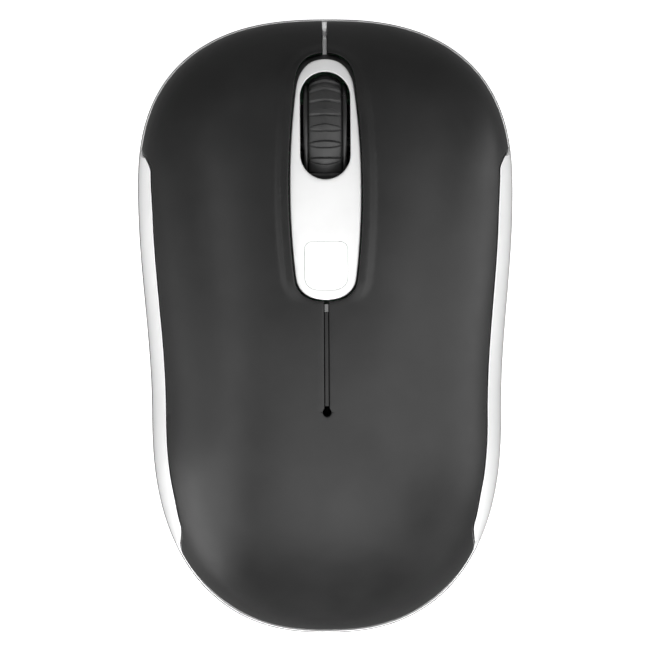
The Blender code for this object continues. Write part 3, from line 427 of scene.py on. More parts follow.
def triangulate(loops, points):
    """Triangles over the region inside the loops, using the extra points."""
    vertices = []
    edges = []
    for loop in loops:
        start = len(vertices)
        vertices.extend(Vector(point) for point in loop)
        count = len(loop)
        edges.extend((start + index, start + (index + 1) % count) for index in range(count))
    vertices.extend(Vector(point) for point in points)
    output = delaunay_2d_cdt(vertices, edges, [], 0, SAME_POINT)
    flat = np.array([tuple(vertex) for vertex in output[0]])
    faces = np.array([tuple(face) for face in output[2] if len(face) == 3])
    centres = flat[faces].mean(axis=1)
    faces = faces[inside_loops(centres, loops)]
    ab = flat[faces[:, 1]] - flat[faces[:, 0]]
    ac = flat[faces[:, 2]] - flat[faces[:, 0]]
    backwards = ab[:, 0] * ac[:, 1] - ab[:, 1] * ac[:, 0] < 0
    faces[backwards] = faces[backwards][:, ::-1]
    used = np.unique(faces)
    renumber = np.full(len(flat), -1)
    renumber[used] = np.arange(len(used))
    return flat[used], renumber[faces]


def new_piece(name, vertices, faces, shade, sharp=50):
    """Smooth mesh in millimetres, sharp only where faces turn by more than the angle."""
    mesh = bpy.data.meshes.new(name)
    mesh.from_pydata((np.asarray(vertices, float) * MM).tolist(), [], [list(f) for f in faces])
    mesh.validate()
    mesh.shade_smooth()
    mesh.set_sharp_from_angle(angle=math.radians(sharp))
    mesh.materials.append(shade)
    piece = bpy.data.objects.new(name, mesh)
    bpy.context.scene.collection.objects.link(piece)
    return piece


def outward(piece):
    """Turn all faces of a closed piece to the outside."""
    bm = bmesh.new()
    bm.from_mesh(piece.data)
    bmesh.ops.recalc_face_normals(bm, faces=bm.faces)
    bm.to_mesh(piece.data)
    bm.free()


def slab(name, loops, points, top, bottom, shade, seam_y=None):
    """Shell over a plan region: top and bottom surfaces joined by upright walls."""
    flat, faces = triangulate(loops, points)
    count = len(flat)
    upper = np.column_stack([flat, top(flat)])
    lower = np.column_stack([flat, bottom(flat)])
    directed = {}
    for a, b, c in faces.tolist():
        for pair in ((a, b), (b, c), (c, a)):
            directed[pair] = True
    walls = [(b, a, a + count, b + count) for a, b in directed if (b, a) not in directed]
    under = [(c + count, b + count, a + count) for a, b, c in faces.tolist()]
    piece = new_piece(name, np.vstack([upper, lower]), faces.tolist() + under + walls, shade)
    if seam_y is not None:
        match_seam(piece, flat, len(faces), top, seam_y)
    return piece


def match_seam(piece, flat, top_faces, top, seam_y):
    """Give the top the exact normals of its formula along the line that two pieces share."""
    step = 0.01
    slope_x = (top(flat + (step, 0)) - top(flat - (step, 0))) / (2 * step)
    slope_y = (top(flat + (0, step)) - top(flat - (0, step))) / (2 * step)
    normals = np.column_stack([-slope_x, -slope_y, np.ones(len(flat))])
    normals /= np.linalg.norm(normals, axis=1)[:, None]
    on_seam = np.abs(flat[:, 1] - seam_y) < 1e-4
    reach = np.abs(flat[on_seam, 0]).max() - EDGE_ROLL - SEAM_END
    on_seam = on_seam & (np.abs(flat[:, 0]) < reach)
    custom = []
    for polygon in piece.data.polygons:
        for loop_index in polygon.loop_indices:
            vertex = piece.data.loops[loop_index].vertex_index
            use = polygon.index < top_faces and vertex < len(flat) and on_seam[vertex]
            custom.append(normals[vertex].tolist() if use else (0.0, 0.0, 0.0))
    piece.data.normals_split_custom_set(custom)


def bridge(rings, close=True):
    """Faces between neighbouring closed rings of equal length."""
    count = len(rings[0])
    vertices = np.vstack(rings)
    total = len(rings) if close else len(rings) - 1
    faces = []
    for ring in range(total):
        first = ring * count
        second = ((ring + 1) % len(rings)) * count
        for index in range(count):
            other = (index + 1) % count
            faces.append((first + index, second + index, second + other, first + other))
    return vertices, faces


def new_bar(name, rings, shade, sharp):
    """Closed piece from a row of rings with a flat cap at each end."""
    vertices, faces = bridge(rings, close=False)
    count = len(rings[0])
    faces.append(tuple(range(count)))
    faces.append(tuple(range(len(vertices) - count, len(vertices))))
    bar = new_piece(name, vertices, faces, shade, sharp)
    outward(bar)
    return bar


def rim_path():
    """Turn and side of every station once around the whole outline."""
    turns = even_turns(0.0, TAIL_TURN, 0.5)
    return [(turn, 1) for turn in turns] + [(turn, -1) for turn in turns[-2:0:-1]]


def rim_profile(turn, side, profile):
    """Profile of (inset, z) pairs stood at one station of the outline."""
    ring = []
    for depth, z in profile:
        x, y = rim_points([turn], depth)[0]
        ring.append((side * x, y, z))
    return np.array(ring)


# ---------------- materials

def set_inputs(node, **values):
    """Set a node's inputs by name; an underscore stands for a space."""
    for name, value in values.items():
        node.inputs[name.replace("_", " ")].default_value = value


def shader_of(shade):
    return shade.node_tree.nodes["Principled BSDF"]


def shader_material(name, colour, roughness, metallic=0.0, gloss=0.5):
    shade = bpy.data.materials.new(name)
    shade.use_nodes = True
    set_inputs(shader_of(shade), Base_Color=(*colour, 1.0), Roughness=roughness,
               Metallic=metallic, Specular_IOR_Level=gloss)
    return shade


def add_node(shade, kind, **values):
    node = shade.node_tree.nodes.new(kind)
    set_inputs(node, **values)
    return node


def link(shade, source, output, target, entry):
    shade.node_tree.links.new(source.outputs[output], target.inputs[entry])


def noise(shade, scale, detail=3.0, roughness=0.5):
    place = add_node(shade, "ShaderNodeTexCoord")
    texture = add_node(shade, "ShaderNodeTexNoise", Scale=scale, Detail=detail, Roughness=roughness)
    link(shade, place, "Object", texture, "Vector")
    return texture


def vary_colour(shade, texture, dark, light):
    ramp = add_node(shade, "ShaderNodeValToRGB")
    stops = ramp.color_ramp.elements
    stops[0].position = 0.35
    stops[0].color = (*dark, 1.0)
    stops[1].position = 0.65
    stops[1].color = (*light, 1.0)
    link(shade, texture, "Fac", ramp, "Fac")
    link(shade, ramp, "Color", shader_of(shade), "Base Color")


def vary_roughness(shade, texture, low, high):
    spread = add_node(shade, "ShaderNodeMapRange", From_Min=0.3, From_Max=0.7, To_Min=low,
                      To_Max=high)
    link(shade, texture, "Fac", spread, "Value")
    link(shade, spread, "Result", shader_of(shade), "Roughness")


def add_bump(shade, texture, strength, depth_mm):
    bump = add_node(shade, "ShaderNodeBump", Strength=strength, Distance=depth_mm * MM)
    link(shade, texture, "Fac", bump, "Height")
    link(shade, bump, "Normal", shader_of(shade), "Normal")


def grey(value):
    return (value, value, value)


def plastic(name, dark, light, smoothest, roughest, grain_scale, grain_depth, strength=0.5,
            gloss=0.5):
    """Moulded plastic: cloudy colour and gloss, and a fine moulded grain."""
    shade = shader_material(name, light, (smoothest + roughest) / 2, gloss=gloss)
    clouds = noise(shade, 90.0, 4.0, 0.6)
    vary_colour(shade, clouds, dark, light)
    patches = noise(shade, 220.0, 3.0, 0.55)
    vary_roughness(shade, patches, smoothest, roughest)
    grain = noise(shade, grain_scale, 2.0, 0.5)
    add_bump(shade, grain, strength, grain_depth)
    return shade


MATT_BLACK = plastic("matt_black_plastic", grey(0.007), grey(0.010), 0.36, 0.42, 5200.0, 0.02,
                     0.35, gloss=0.40)
GLOSS_WHITE = plastic("gloss_white_plastic", grey(0.59), grey(0.62), 0.10, 0.16, 600.0, 0.004, 0.1)
# The key is whiter than the trim's plastic: a painted highlight that makes the key show as a bright
# patch on the trim.
KEY_HIGHLIGHT_WHITE = plastic("key_painted_highlight_plastic", grey(0.86), grey(0.89), 0.10, 0.16, 600.0, 0.004, 0.1)
CASE_BLACK = plastic("case_black_plastic", grey(0.018), grey(0.024), 0.42, 0.55, 3800.0, 0.03, 0.5)
RUBBER = plastic("wheel_rubber", grey(0.020), grey(0.028), 0.45, 0.60, 4200.0, 0.02, 0.4)
HUB_BLACK = plastic("hub_plastic", grey(0.016), grey(0.020), 0.25, 0.35, 2500.0, 0.01, 0.3)
INNER_BLACK = plastic("inner_plastic", grey(0.020), grey(0.035), 0.45, 0.60, 2500.0, 0.02, 0.4)
# The spine tab's mid grey is painted shade: it stands for a light part lying in shade in the slot.
TAB_SHADE_GREY = plastic("tab_painted_shade_plastic", grey(0.07), grey(0.09), 0.35, 0.45, 2600.0, 0.02, 0.3)
GLIDE_WHITE = plastic("glide_plastic", grey(0.62), grey(0.70), 0.30, 0.42, 2600.0, 0.02, 0.3)


# ---------------- cover pieces

FLEX_TURN = turn_at(FLEX_Y)
RING_INSETS = (0.36, 0.40, 0.46, 0.54, 0.65, 0.80, 1.0, 1.25, 1.55, 1.9, 2.3, 2.75, 3.3, 4.0, 4.9)
FINE_RINGS = 1.5          # rings beyond this inset have every second station only
FINE_SPACING = 0.5
COARSE_SPACING = 1.0
EDGE_SPACING = 0.6        # the cover's edge and the rings inside it share these stations
SEAM_POINTS = 30

# How clear of these lines the free points stay
GRID_SEAM_CLEAR = 0.35
RING_SEAM_CLEAR = 0.2
ROLL_SEAM_CLEAR = 0.02
GRID_CREASE_CLEAR = 0.15
RING_EDGE_CLEAR = 0.03
CREASE_WIDTH = 0.06


def cover_surface(edges):
    """Top of the cover with its edges rolled."""
    def top(points):
        x = points[:, 0]
        y = points[:, 1]
        height = dome(x, y, edge_inset(y)) + collar(points)
        return height - roll(distance_to_any(points, edges))
    return top


def cover_underside(points):
    x = points[:, 0]
    y = points[:, 1]
    inner = dome(x, y, edge_inset(y) + WALL, WALL) + collar(points)
    return np.maximum(COVER_BOTTOM_Z, inner)


def rim_rings(start, end):
    """Points inside the cover's outer edge, closer together where the dome is steep."""
    stations = even_turns(start, end, EDGE_SPACING)
    rings = []
    for inset in RING_INSETS:
        turns = stations if inset < FINE_RINGS else stations[::2]
        limit = cover_edge_inset(turns) + EDGE_ROLL + 0.05
        rings.append(rim_points(turns, inset)[inset > limit])
    return np.vstack(rings)


def flex_line():
    """Points from the relief hole to the cover's edge, shared by the palm and a button."""
    edge_x = rim_points([FLEX_TURN], cover_edge_inset([FLEX_TURN]))[0, 0]
    x = np.linspace(RELIEF_RADIUS, edge_x, SEAM_POINTS)
    return np.column_stack([x, np.full(len(x), FLEX_Y)])


def arc(radius, start, end, count, centre=(0.0, 0.0)):
    angles = np.radians(np.linspace(start, end, count))
    return np.column_stack([np.cos(angles), np.sin(angles)]) * radius + centre


def fill_points(loops, edges, rings, near_line, near):
    """Grid points inside the loops: fine near a line, coarse elsewhere, clear of the edges."""
    low = np.min(loops[0], axis=0)
    high = np.max(loops[0], axis=0)
    fine = hexagonal_points(low, high, FINE_SPACING)
    fine = fine[inside_loops(fine, loops)]
    fine = fine[distance_to(fine, near_line) < near]
    coarse = hexagonal_points(low, high, COARSE_SPACING)
    coarse = coarse[inside_loops(coarse, loops)]
    coarse = coarse[distance_to(coarse, near_line) >= near]
    reach = np.abs(coarse[:, 0]) < half_width(coarse[:, 1], RING_INSETS[-1] + 0.4)
    grid = np.vstack([fine, coarse[reach]])
    grid = grid[distance_to_any(grid, edges) > EDGE_ROLL + FINE_SPACING / 2]
    grid = grid[np.abs(grid[:, 1] - FLEX_Y) > GRID_SEAM_CLEAR]
    from_crease = np.abs(distance_to(grid, COLLAR_LINE) - COLLAR_FLAT)
    grid = grid[from_crease > GRID_CREASE_CLEAR]
    crease = [COLLAR_FLAT, COLLAR_FLAT + CREASE_WIDTH, COLLAR_WIDTH]
    rings = np.vstack([rings, edge_points([COLLAR_LINE], crease)])
    rings = rings[inside_loops(rings, loops)]
    rings = rings[np.abs(rings[:, 1] - FLEX_Y) > RING_SEAM_CLEAR]
    rings = rings[distance_to_any(rings, edges) > EDGE_ROLL + RING_EDGE_CLEAR]
    return np.vstack([grid, rings])


def rolled_points(loops, edges):
    """Points that give the cover's edges their round section."""
    points = edge_points(edges, [EDGE_ROLL * step for step in ROLL_STEPS])
    points = points[inside_loops(points, loops)]
    return points[np.abs(points[:, 1] - FLEX_Y) > ROLL_SEAM_CLEAR]


def make_palm():
    turns = even_turns(FLEX_TURN, TAIL_TURN, EDGE_SPACING)
    right = rim_points(turns, cover_edge_inset(turns))
    right[0, 1] = FLEX_Y
    right[-1, 0] = 0.0
    outer = np.vstack([right, right[-2::-1] * (-1, 1)])
    seam = flex_line()
    hole = arc(RELIEF_RADIUS, 180, 360, 25, (0, FLEX_Y))
    left_seam = seam[::-1] * (-1, 1)
    loop = np.vstack([outer[:-1], left_seam, hole[1:-1], seam[:-1]])
    loops = [loop]
    edges = [outer, hole]
    rings = rim_rings(FLEX_TURN, TAIL_TURN)
    rings = np.vstack([rings, rings * (-1, 1)])
    points = np.vstack([rolled_points(loops, edges), fill_points(loops, edges, rings, hole, 3.0)])
    top = cover_surface(edges)
    palm = slab("palm_cover", loops, points, top, cover_underside, MATT_BLACK, FLEX_Y)
    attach(palm, "root")
    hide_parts("top_cover")


def button_outline(side):
    """Closed outline of one button skin, and its edges without the flex line."""
    turns = even_turns(0.0, FLEX_TURN, EDGE_SPACING)
    outer = rim_points(turns, cover_edge_inset(turns))
    outer = outer[outer[:, 0] > SLOT_HALF + 0.05]
    outer[-1, 1] = FLEX_Y
    nose = np.array([[SLOT_HALF, outer[0, 1] + 0.005]])
    outer = np.vstack([nose, outer])
    seam = flex_line()[::-1]
    corner = math.degrees(math.acos(SLOT_HALF / RELIEF_RADIUS))
    hole = arc(RELIEF_RADIUS, 0, corner, 10, (0, FLEX_Y))
    opening = OPENING_SIDE[OPENING_SIDE[:, 0] >= SLOT_HALF]
    opening = even_line(opening, LOOP_SPACING)[::-1]
    opening[0, 0] = SLOT_HALF
    opening[-1, 0] = SLOT_HALF
    rear_slot = even_line(np.array([hole[-1], opening[0]]), LOOP_SPACING)
    front_slot = even_line(np.array([opening[-1], outer[0]]), LOOP_SPACING)
    inner = np.vstack([hole, rear_slot[1:-1], opening, front_slot[1:-1]])
    loop = np.vstack([outer[:-1], seam, inner[1:]])
    edges = [outer, inner, front_slot]
    factor = (side, 1)
    return loop * factor, [line * factor for line in edges]


def make_button(side, name, body):
    loop, edges = button_outline(side)
    if side < 0:
        loop = loop[::-1]
    loops = [loop]
    rings = rim_rings(0.0, FLEX_TURN) * (side, 1)
    near = OPENING_SIDE * (side, 1)
    points = np.vstack([rolled_points(loops, edges), fill_points(loops, edges, rings, near, 4.0)])
    top = cover_surface(edges)
    skin = slab(name, loops, points, top, cover_underside, MATT_BLACK, FLEX_Y)
    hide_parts(body)
    place = joint_place(f"{body}_press") * MM
    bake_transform(skin)


# ---------------- frame and case

FRAME_STEPS = (0.02, 0.05, 0.10, 0.17, 0.26, 0.37, 0.50, 0.63, 0.75, 0.85)
FRAME_FOOT = [(0.5, RING_LOW.z), (0.3, 5.42)]      # (inset, z) pairs
FRAME_SIDE = [(0.08, 5.7), (0.0, 6.1), (0.0, 7.0), (0.0, LEDGE_Z - 0.12)]    # beyond the side's inset
SIDE_ROLL = 0.04
LIP_ROLL = 0.05
LIP_TILT = 0.15
LEDGE_DROP = 0.1
# Section of the dark lip; it stands out beyond the ring only to draw a painted shade line along its
# edge.
SHADE_LINE_PROFILE = [(0.30, 4.35), (0.10, 4.45), (0.02, 4.62), (0.0, 4.85), (0.03, 5.02), (0.10, 5.1),
               (0.45, 5.1)]


def frame_profile(turn):
    """Section of the ring at one station: up its outside, over the top and down inside."""
    y = rim_points([turn])[0, 1]
    share = float(rail_share(y, RAIL_DELAY))
    inset = mix(LIP_INSET, RAIL_INSET - RAIL_GAP / 2, share)
    radius = mix(LIP_ROLL, EDGE_ROLL, share)
    rise = float(smooth(3 * share))
    side_inset = mix(NOSE_SIDE_INSET, RAIL_SIDE_INSET, share)
    profile = FRAME_FOOT + [(side_inset + extra, z) for extra, z in FRAME_SIDE]
    depths = [mix(side_inset, inset, part) for part in FRAME_STEPS]
    depths += [inset - radius * step for step in ROLL_STEPS] + [inset]
    for depth in sorted(depths):
        x, py = rim_points([turn], depth)[0]
        low = LEDGE_Z + LIP_TILT * depth / inset
        height = float(dome(x, py, NOSE_EDGE_INSET * depth / inset * share))
        z = mix(low, max(low, height), rise) - float(roll(inset - depth, radius))
        z -= float(roll(depth - side_inset, SIDE_ROLL)) * (1 - share)
        profile.append((depth, z))
    ledge = max(LEDGE_INSET, inset + 0.03)
    profile += [(inset + 0.01, LEDGE_Z - LEDGE_DROP / 2), (ledge, LEDGE_Z - LEDGE_DROP)]
    profile += [(ledge + 0.03, UPSTAND_Z - 0.1), (ledge + 0.12, UPSTAND_Z)]
    profile += [(UPSTAND_INSET, UPSTAND_Z), (UPSTAND_INSET, RING_LOW.z)]
    return profile


def make_frame():
    """Glossy ring around the body, raised into a rail on each side."""
    rings = [rim_profile(turn, side, frame_profile(turn)) for turn, side in rim_path()]
    vertices, faces = bridge(rings)
    ring = new_piece("white_frame", vertices, faces, GLOSS_WHITE, 45)
    outward(ring)
    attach(ring, "root")
    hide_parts("mid_frame")


def make_shade_line_rim():
    """Dark lip that stands a hair beyond the white ring all around: a painted shade line along the
    ring's lower edge.
    """
    rings = [rim_profile(turn, side, SHADE_LINE_PROFILE) for turn, side in rim_path()]
    vertices, faces = bridge(rings)
    rim = new_piece("shade_line_rim", vertices, faces, CASE_BLACK, 45)
    outward(rim)
    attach(rim, "root")


# ---------------- trim and key

RIB_BEVEL = 0.08
RIB_BEVEL_DROP = 0.1
RIB_STATIONS = 60
NOSE_RIB_DEPTH = 0.25     # below the cover's surface
NOSE_RIB_FRONT_Y = HALF_LENGTH - 0.55
NOSE_RIB_FALL = 3.4       # how far its rear bends down behind its front end
NOSE_RIB_FALL_Y = HALF_LENGTH - 1.3
NOSE_RIB_FALL_REACH = 2.2
SPINE_RIB_DEPTH = 0.42
SPINE_TAB_DEPTH = 0.2
SPINE_TAB_FRONT_Y = TRIM_LOW.y - 0.72
SPINE_TAB_REAR_Y = TRIM_LOW.y - 1.95
SEAT_CLEARANCE = 0.15
SEAT_THICKNESS = 1.05
SEAT_WIDTH = 0.7          # how far the seat reaches below the trim
SEAT_CENTRE_Y = 23.0
SEAT_SHARE = 1 - 0.15 / 12


def make_slot_rib(name, y, depth, height, shade):
    """Narrow rib that stands in a slot between the buttons."""
    top = np.maximum(UPSTAND_Z, dome(0.0, y, NOSE_EDGE_INSET) - depth)
    shoulder = RIB_SIDE - RIB_BEVEL
    sides = [(-RIB_SIDE, RIB_BEVEL_DROP), (-shoulder, 0.0), (shoulder, 0.0),
             (RIB_SIDE, RIB_BEVEL_DROP)]
    rings = []
    for place, crown in zip(y, top):
        ring = [(x, place, crown - drop) for x, drop in sides]
        ring += [(RIB_SIDE, place, crown - height), (-RIB_SIDE, place, crown - height)]
        rings.append(np.array(ring))
    rib = new_bar(name, rings, shade, 40)
    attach(rib, "root")


def make_slot_ribs():
    y = np.linspace(NOSE_RIB_FRONT_Y, TRIM_HIGH.y + 0.45, RIB_STATIONS)
    fall = smooth((NOSE_RIB_FALL_Y - y) / NOSE_RIB_FALL_REACH)
    depth = NOSE_RIB_DEPTH + NOSE_RIB_FALL * fall
    make_slot_rib("nose_rib", y, depth, 3.0, GLOSS_WHITE)
    y = np.linspace(SPINE_TAB_REAR_Y - 0.1, FLEX_Y + RELIEF_RADIUS + 0.3, RIB_STATIONS)
    make_slot_rib("spine_rib", y, SPINE_RIB_DEPTH, 2.2, MATT_BLACK)
    # The tab's grey is painted shade.
    y = np.linspace(SPINE_TAB_FRONT_Y, SPINE_TAB_REAR_Y, 12)
    make_slot_rib("spine_tab", y, SPINE_TAB_DEPTH, 1.2, TAB_SHADE_GREY)


def make_trim_seat():
    """Black ledge under the gap around the trim."""
    outer = even_line(closed(OPENING_SIDE), LOOP_SPACING)
    middle = np.array([0.0, SEAT_CENTRE_Y])
    outer = middle + (outer - middle) * SEAT_SHARE
    inner = even_line(closed(trim_side(-SEAT_WIDTH)), LOOP_SPACING)

    def top(points):
        return trim_surface(points) - TRIM_WALL - SEAT_CLEARANCE

    def bottom(points):
        return top(points) - SEAT_THICKNESS

    empty = np.zeros((0, 2))
    seat = slab("trim_seat", [outer, inner], empty, top, bottom, INNER_BLACK)
    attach(seat, "root")


def key_half(y, grow):
    """Half the width of the key, rounded at its rear, grown outwards by grow."""
    into = np.clip(y - KEY_LOW.y + grow, 0, KEY_REAR_ROUND)
    return (KEY_HIGH.x + grow) * rounding(1 - into / KEY_REAR_ROUND, KEY_REAR_POWER)


def key_loop(grow):
    share = 1 - np.cos(np.linspace(0, np.pi / 2, 120))
    y = mix(KEY_LOW.y - grow, KEY_HIGH.y + grow - KEY_CORNER, share)
    side = np.column_stack([key_half(y, grow), y])
    corner = arc(KEY_CORNER, 0, 90, 10, (side[-1, 0] - KEY_CORNER, side[-1, 1]))
    right = np.vstack([side, corner[1:]])
    return closed(even_line(right, 0.25))


def window_loop():
    centre = WINDOW_FRONT_Y - WINDOW_HALF
    front = arc(WINDOW_HALF, 0, 180, 41, (0, centre))
    rear = arc(WINDOW_HALF, 180, 360, 41, (0, WINDOW_REAR_Y + WINDOW_HALF))
    ring = np.vstack([front, rear])
    return even_line(np.vstack([ring, ring[:1]]), 0.35)[:-1]


def loop_line(loop):
    return np.vstack([loop, loop[:1]])


def surface_slab(name, loops, surface, wall, shade, spacing, radii):
    """Slab whose top has rolled edges along every loop, one radius for each loop."""
    edges = [loop_line(loop) for loop in loops]
    rolled = []
    for line, radius in zip(edges, radii):
        rolled.append(edge_points([line], [radius * step for step in ROLL_STEPS]))
    rolled = np.vstack(rolled)
    rolled = rolled[inside_loops(rolled, loops)]
    grid = hexagonal_points(np.min(loops[0], axis=0), np.max(loops[0], axis=0), spacing)
    grid = grid[inside_loops(grid, loops)]
    grid = grid[distance_to_any(grid, edges) > max(radii) + spacing / 2]

    def top(points):
        height = surface(points)
        for line, radius in zip(edges, radii):
            height = height - roll(distance_to(points, line), radius)
        return height

    def bottom(points):
        return surface(points) - wall

    return slab(name, loops, np.vstack([rolled, grid]), top, bottom, shade)


def make_trim():
    outer = even_line(closed(trim_side(0.0)), LOOP_SPACING)
    loops = [outer, window_loop(), key_loop(KEY_HOLE_GROW)]
    radii = [TRIM_ROLL, TRIM_ROLL, KEY_ROLL]
    trim = surface_slab("centre_trim", loops, trim_surface, TRIM_WALL, GLOSS_WHITE, 0.5, radii)
    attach(trim, "root")
    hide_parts("center_trim")


def make_key():
    loops = [key_loop(KEY_GROW)]
    # The key's lighter white is a painted highlight.
    key = surface_slab("mode_key", loops, trim_surface, TRIM_WALL, KEY_HIGHLIGHT_WHITE, 0.5, [KEY_ROLL])
    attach(key, "dpi_key")
    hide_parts("dpi_key")


# ---------------- scroll wheel

TYRE_RADIUS = 11.0
TYRE_HALF = 2.65
TYRE_CROWN = 1.0
TYRE_INNER = 8.6
RIB_COUNT = 25
RIB_HEIGHT = 0.3
RIB_HALF = 0.46
GROOVE_DEPTH = 0.16
GROOVE_HALF = 0.13
GROOVE_OFFSET = 0.1       # from the rib's edge to the middle of the groove beside it
RIB_REACH = 0.96          # share of the tyre's width that a rib spans
RIB_SLOPE = 0.16
RIB_STEPS = 36            # sections of the tyre for each rib
TYRE_SHOULDER = 0.35
AXLE_END = 12.1
STUB_END = 9.9
AXLE_RADIUS = 1.1
AXLE_BEVEL = 0.2
FLANGE_HALF = 3.45
HUB_FACE = [(-FLANGE_HALF, AXLE_RADIUS), (-FLANGE_HALF, 3.0), (-1.6, 3.6), (-1.6, 6.4),
            (-FLANGE_HALF + 0.3, 7.0), (-FLANGE_HALF, 7.4), (-FLANGE_HALF, 9.2), (-3.38, 9.5),
            (-3.2, 9.68), (-3.0, 9.72), (-2.84, 9.65), (-2.74, 9.45), (-2.72, 8.3)]


def make_tyre():
    """Crowned rubber band with lens-shaped cross ribs."""
    across = np.linspace(-1, 1, 41)
    steps = RIB_COUNT * RIB_STEPS
    pitch = 2 * np.pi / RIB_COUNT
    rings = []
    for index in range(steps):
        angle = 2 * np.pi * index / steps
        from_rib = (angle + pitch / 2) % pitch - pitch / 2
        arc_length = abs(from_rib) * TYRE_RADIUS
        reach = RIB_HALF * np.sqrt(np.maximum(0, 1 - (across / RIB_REACH) ** 2))
        rib = RIB_HEIGHT * smooth((reach - arc_length) / RIB_SLOPE + 0.5) * (reach > 0.02)
        from_groove = np.abs(arc_length - reach - GROOVE_OFFSET)
        groove = np.maximum(0, 1 - (from_groove / GROOVE_HALF) ** 2)
        groove = GROOVE_DEPTH * groove * smooth(reach / 0.15)
        base = TYRE_RADIUS - RIB_HEIGHT - TYRE_CROWN * across ** 2
        shoulder = roll((1 - np.abs(across)) * TYRE_HALF, TYRE_SHOULDER)
        radius = base + rib - groove - shoulder
        x = np.concatenate([[-TYRE_HALF], across * TYRE_HALF, [TYRE_HALF]])
        radius = np.concatenate([[TYRE_INNER], radius, [TYRE_INNER]])
        y = AXLE.y + radius * np.sin(angle)
        z = AXLE.z + radius * np.cos(angle)
        rings.append(np.column_stack([x, y, z]))
    vertices, faces = bridge(rings)
    tyre = new_piece("ribbed_tyre", vertices, faces, RUBBER, 60)
    outward(tyre)
    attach(tyre, "wheel")
    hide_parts("wheel_tyre")


def apply_place(piece):
    bpy.context.view_layer.update()
    piece.data.transform(piece.matrix_world)
    piece.matrix_world = Matrix.Identity(4)


def turned(name, profile, shade, segments):
    """Solid of revolution about local z. profile lists (along, radius) from axis to axis."""
    vertices = []
    rings = []
    for along, radius in profile:
        if radius == 0:
            rings.append([len(vertices)])
            vertices.append((0, 0, along))
            continue
        ring = []
        for index in range(segments):
            angle = 2 * math.pi * index / segments
            ring.append(len(vertices))
            vertices.append((radius * math.cos(angle), radius * math.sin(angle), along))
        rings.append(ring)
    faces = []
    for first, second in zip(rings, rings[1:]):
        for index in range(segments):
            other = (index + 1) % segments
            corners = [first[index % len(first)], first[other % len(first)]]
            corners += [second[other % len(second)], second[index % len(second)]]
            faces.append(list(dict.fromkeys(corners)))
    piece = new_piece(name, vertices, faces, shade, 40)
    outward(piece)
    return piece


def make_hub():
    """Hub with rounded side flanges beside the rubber band, and its axle."""
    profile = [(-AXLE_END, 0.0), (-AXLE_END, AXLE_RADIUS - AXLE_BEVEL)]
    profile += [(-AXLE_END + AXLE_BEVEL, AXLE_RADIUS)] + HUB_FACE
    profile += [(-along, radius) for along, radius in reversed(HUB_FACE)]
    profile += [(STUB_END - AXLE_BEVEL, AXLE_RADIUS), (STUB_END, AXLE_RADIUS - AXLE_BEVEL)]
    profile += [(STUB_END, 0.0)]
    hub = turned("hub", profile, HUB_BLACK, 96)
    hub.matrix_world = Matrix.Translation(AXLE * MM) @ Matrix.Rotation(math.pi / 2, 4, "Y")
    apply_place(hub)
    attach(hub, "wheel")
    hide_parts("wheel_hub")


# ---------------- carried nodes

def brushed_metal(name, dark, light, smoothest, roughest):
    """Plated metal with fine drawn streaks along one direction."""
    shade = shader_material(name, light, roughest, 1.0)
    place = add_node(shade, "ShaderNodeTexCoord")
    stretch = add_node(shade, "ShaderNodeMapping", Scale=(120.0, 2600.0, 2600.0))
    link(shade, place, "Object", stretch, "Vector")
    streaks = add_node(shade, "ShaderNodeTexNoise", Scale=1.0, Detail=4.0)
    link(shade, stretch, "Vector", streaks, "Vector")
    vary_colour(shade, streaks, dark, light)
    vary_roughness(shade, streaks, smoothest, roughest)
    add_bump(shade, streaks, 0.2, 0.01)
    return shade


def circuit_material():
    """Green solder mask over copper tracks laid out in a grid of short runs."""
    shade = shader_material("circuit_board", (0.012, 0.10, 0.035), 0.35)
    place = add_node(shade, "ShaderNodeTexCoord")
    tracks = add_node(shade, "ShaderNodeTexBrick", Scale=180.0, Mortar_Size=0.035,
                      Color1=(0.010, 0.085, 0.030, 1.0), Color2=(0.014, 0.115, 0.040, 1.0),
                      Mortar=(0.030, 0.200, 0.075, 1.0))
    link(shade, place, "Object", tracks, "Vector")
    link(shade, tracks, "Color", shader_of(shade), "Base Color")
    add_bump(shade, tracks, 0.3, 0.03)
    vary_roughness(shade, noise(shade, 400.0), 0.28, 0.42)
    return shade


def wrap_material():
    """Printed film around the cell: dark body and a lighter band at one end."""
    shade = shader_material("battery_wrap", (0.05, 0.09, 0.2), 0.3)
    place = add_node(shade, "ShaderNodeTexCoord")
    parts = add_node(shade, "ShaderNodeSeparateXYZ")
    link(shade, place, "Object", parts, "Vector")
    band = add_node(shade, "ShaderNodeValToRGB")
    band.color_ramp.interpolation = "CONSTANT"
    stops = band.color_ramp.elements
    stops[0].color = (0.03, 0.05, 0.13, 1.0)
    stops[1].position = 0.55
    stops[1].color = (0.55, 0.42, 0.16, 1.0)
    spread = add_node(shade, "ShaderNodeMapRange", From_Min=-0.045, From_Max=0.006)
    link(shade, parts, "Y", spread, "Value")
    link(shade, spread, "Result", band, "Fac")
    link(shade, band, "Color", shader_of(shade), "Base Color")
    wrinkles = noise(shade, 500.0, 3.0)
    vary_roughness(shade, wrinkles, 0.22, 0.36)
    add_bump(shade, wrinkles, 0.15, 0.02)
    return shade


def resin(name, dark, light, smoothest, roughest, through):
    """Clear or tinted moulded resin that lets some light through."""
    shade = plastic(name, dark, light, smoothest, roughest, 900.0, 0.004, 0.1)
    set_inputs(shader_of(shade), Transmission_Weight=through)
    return shade


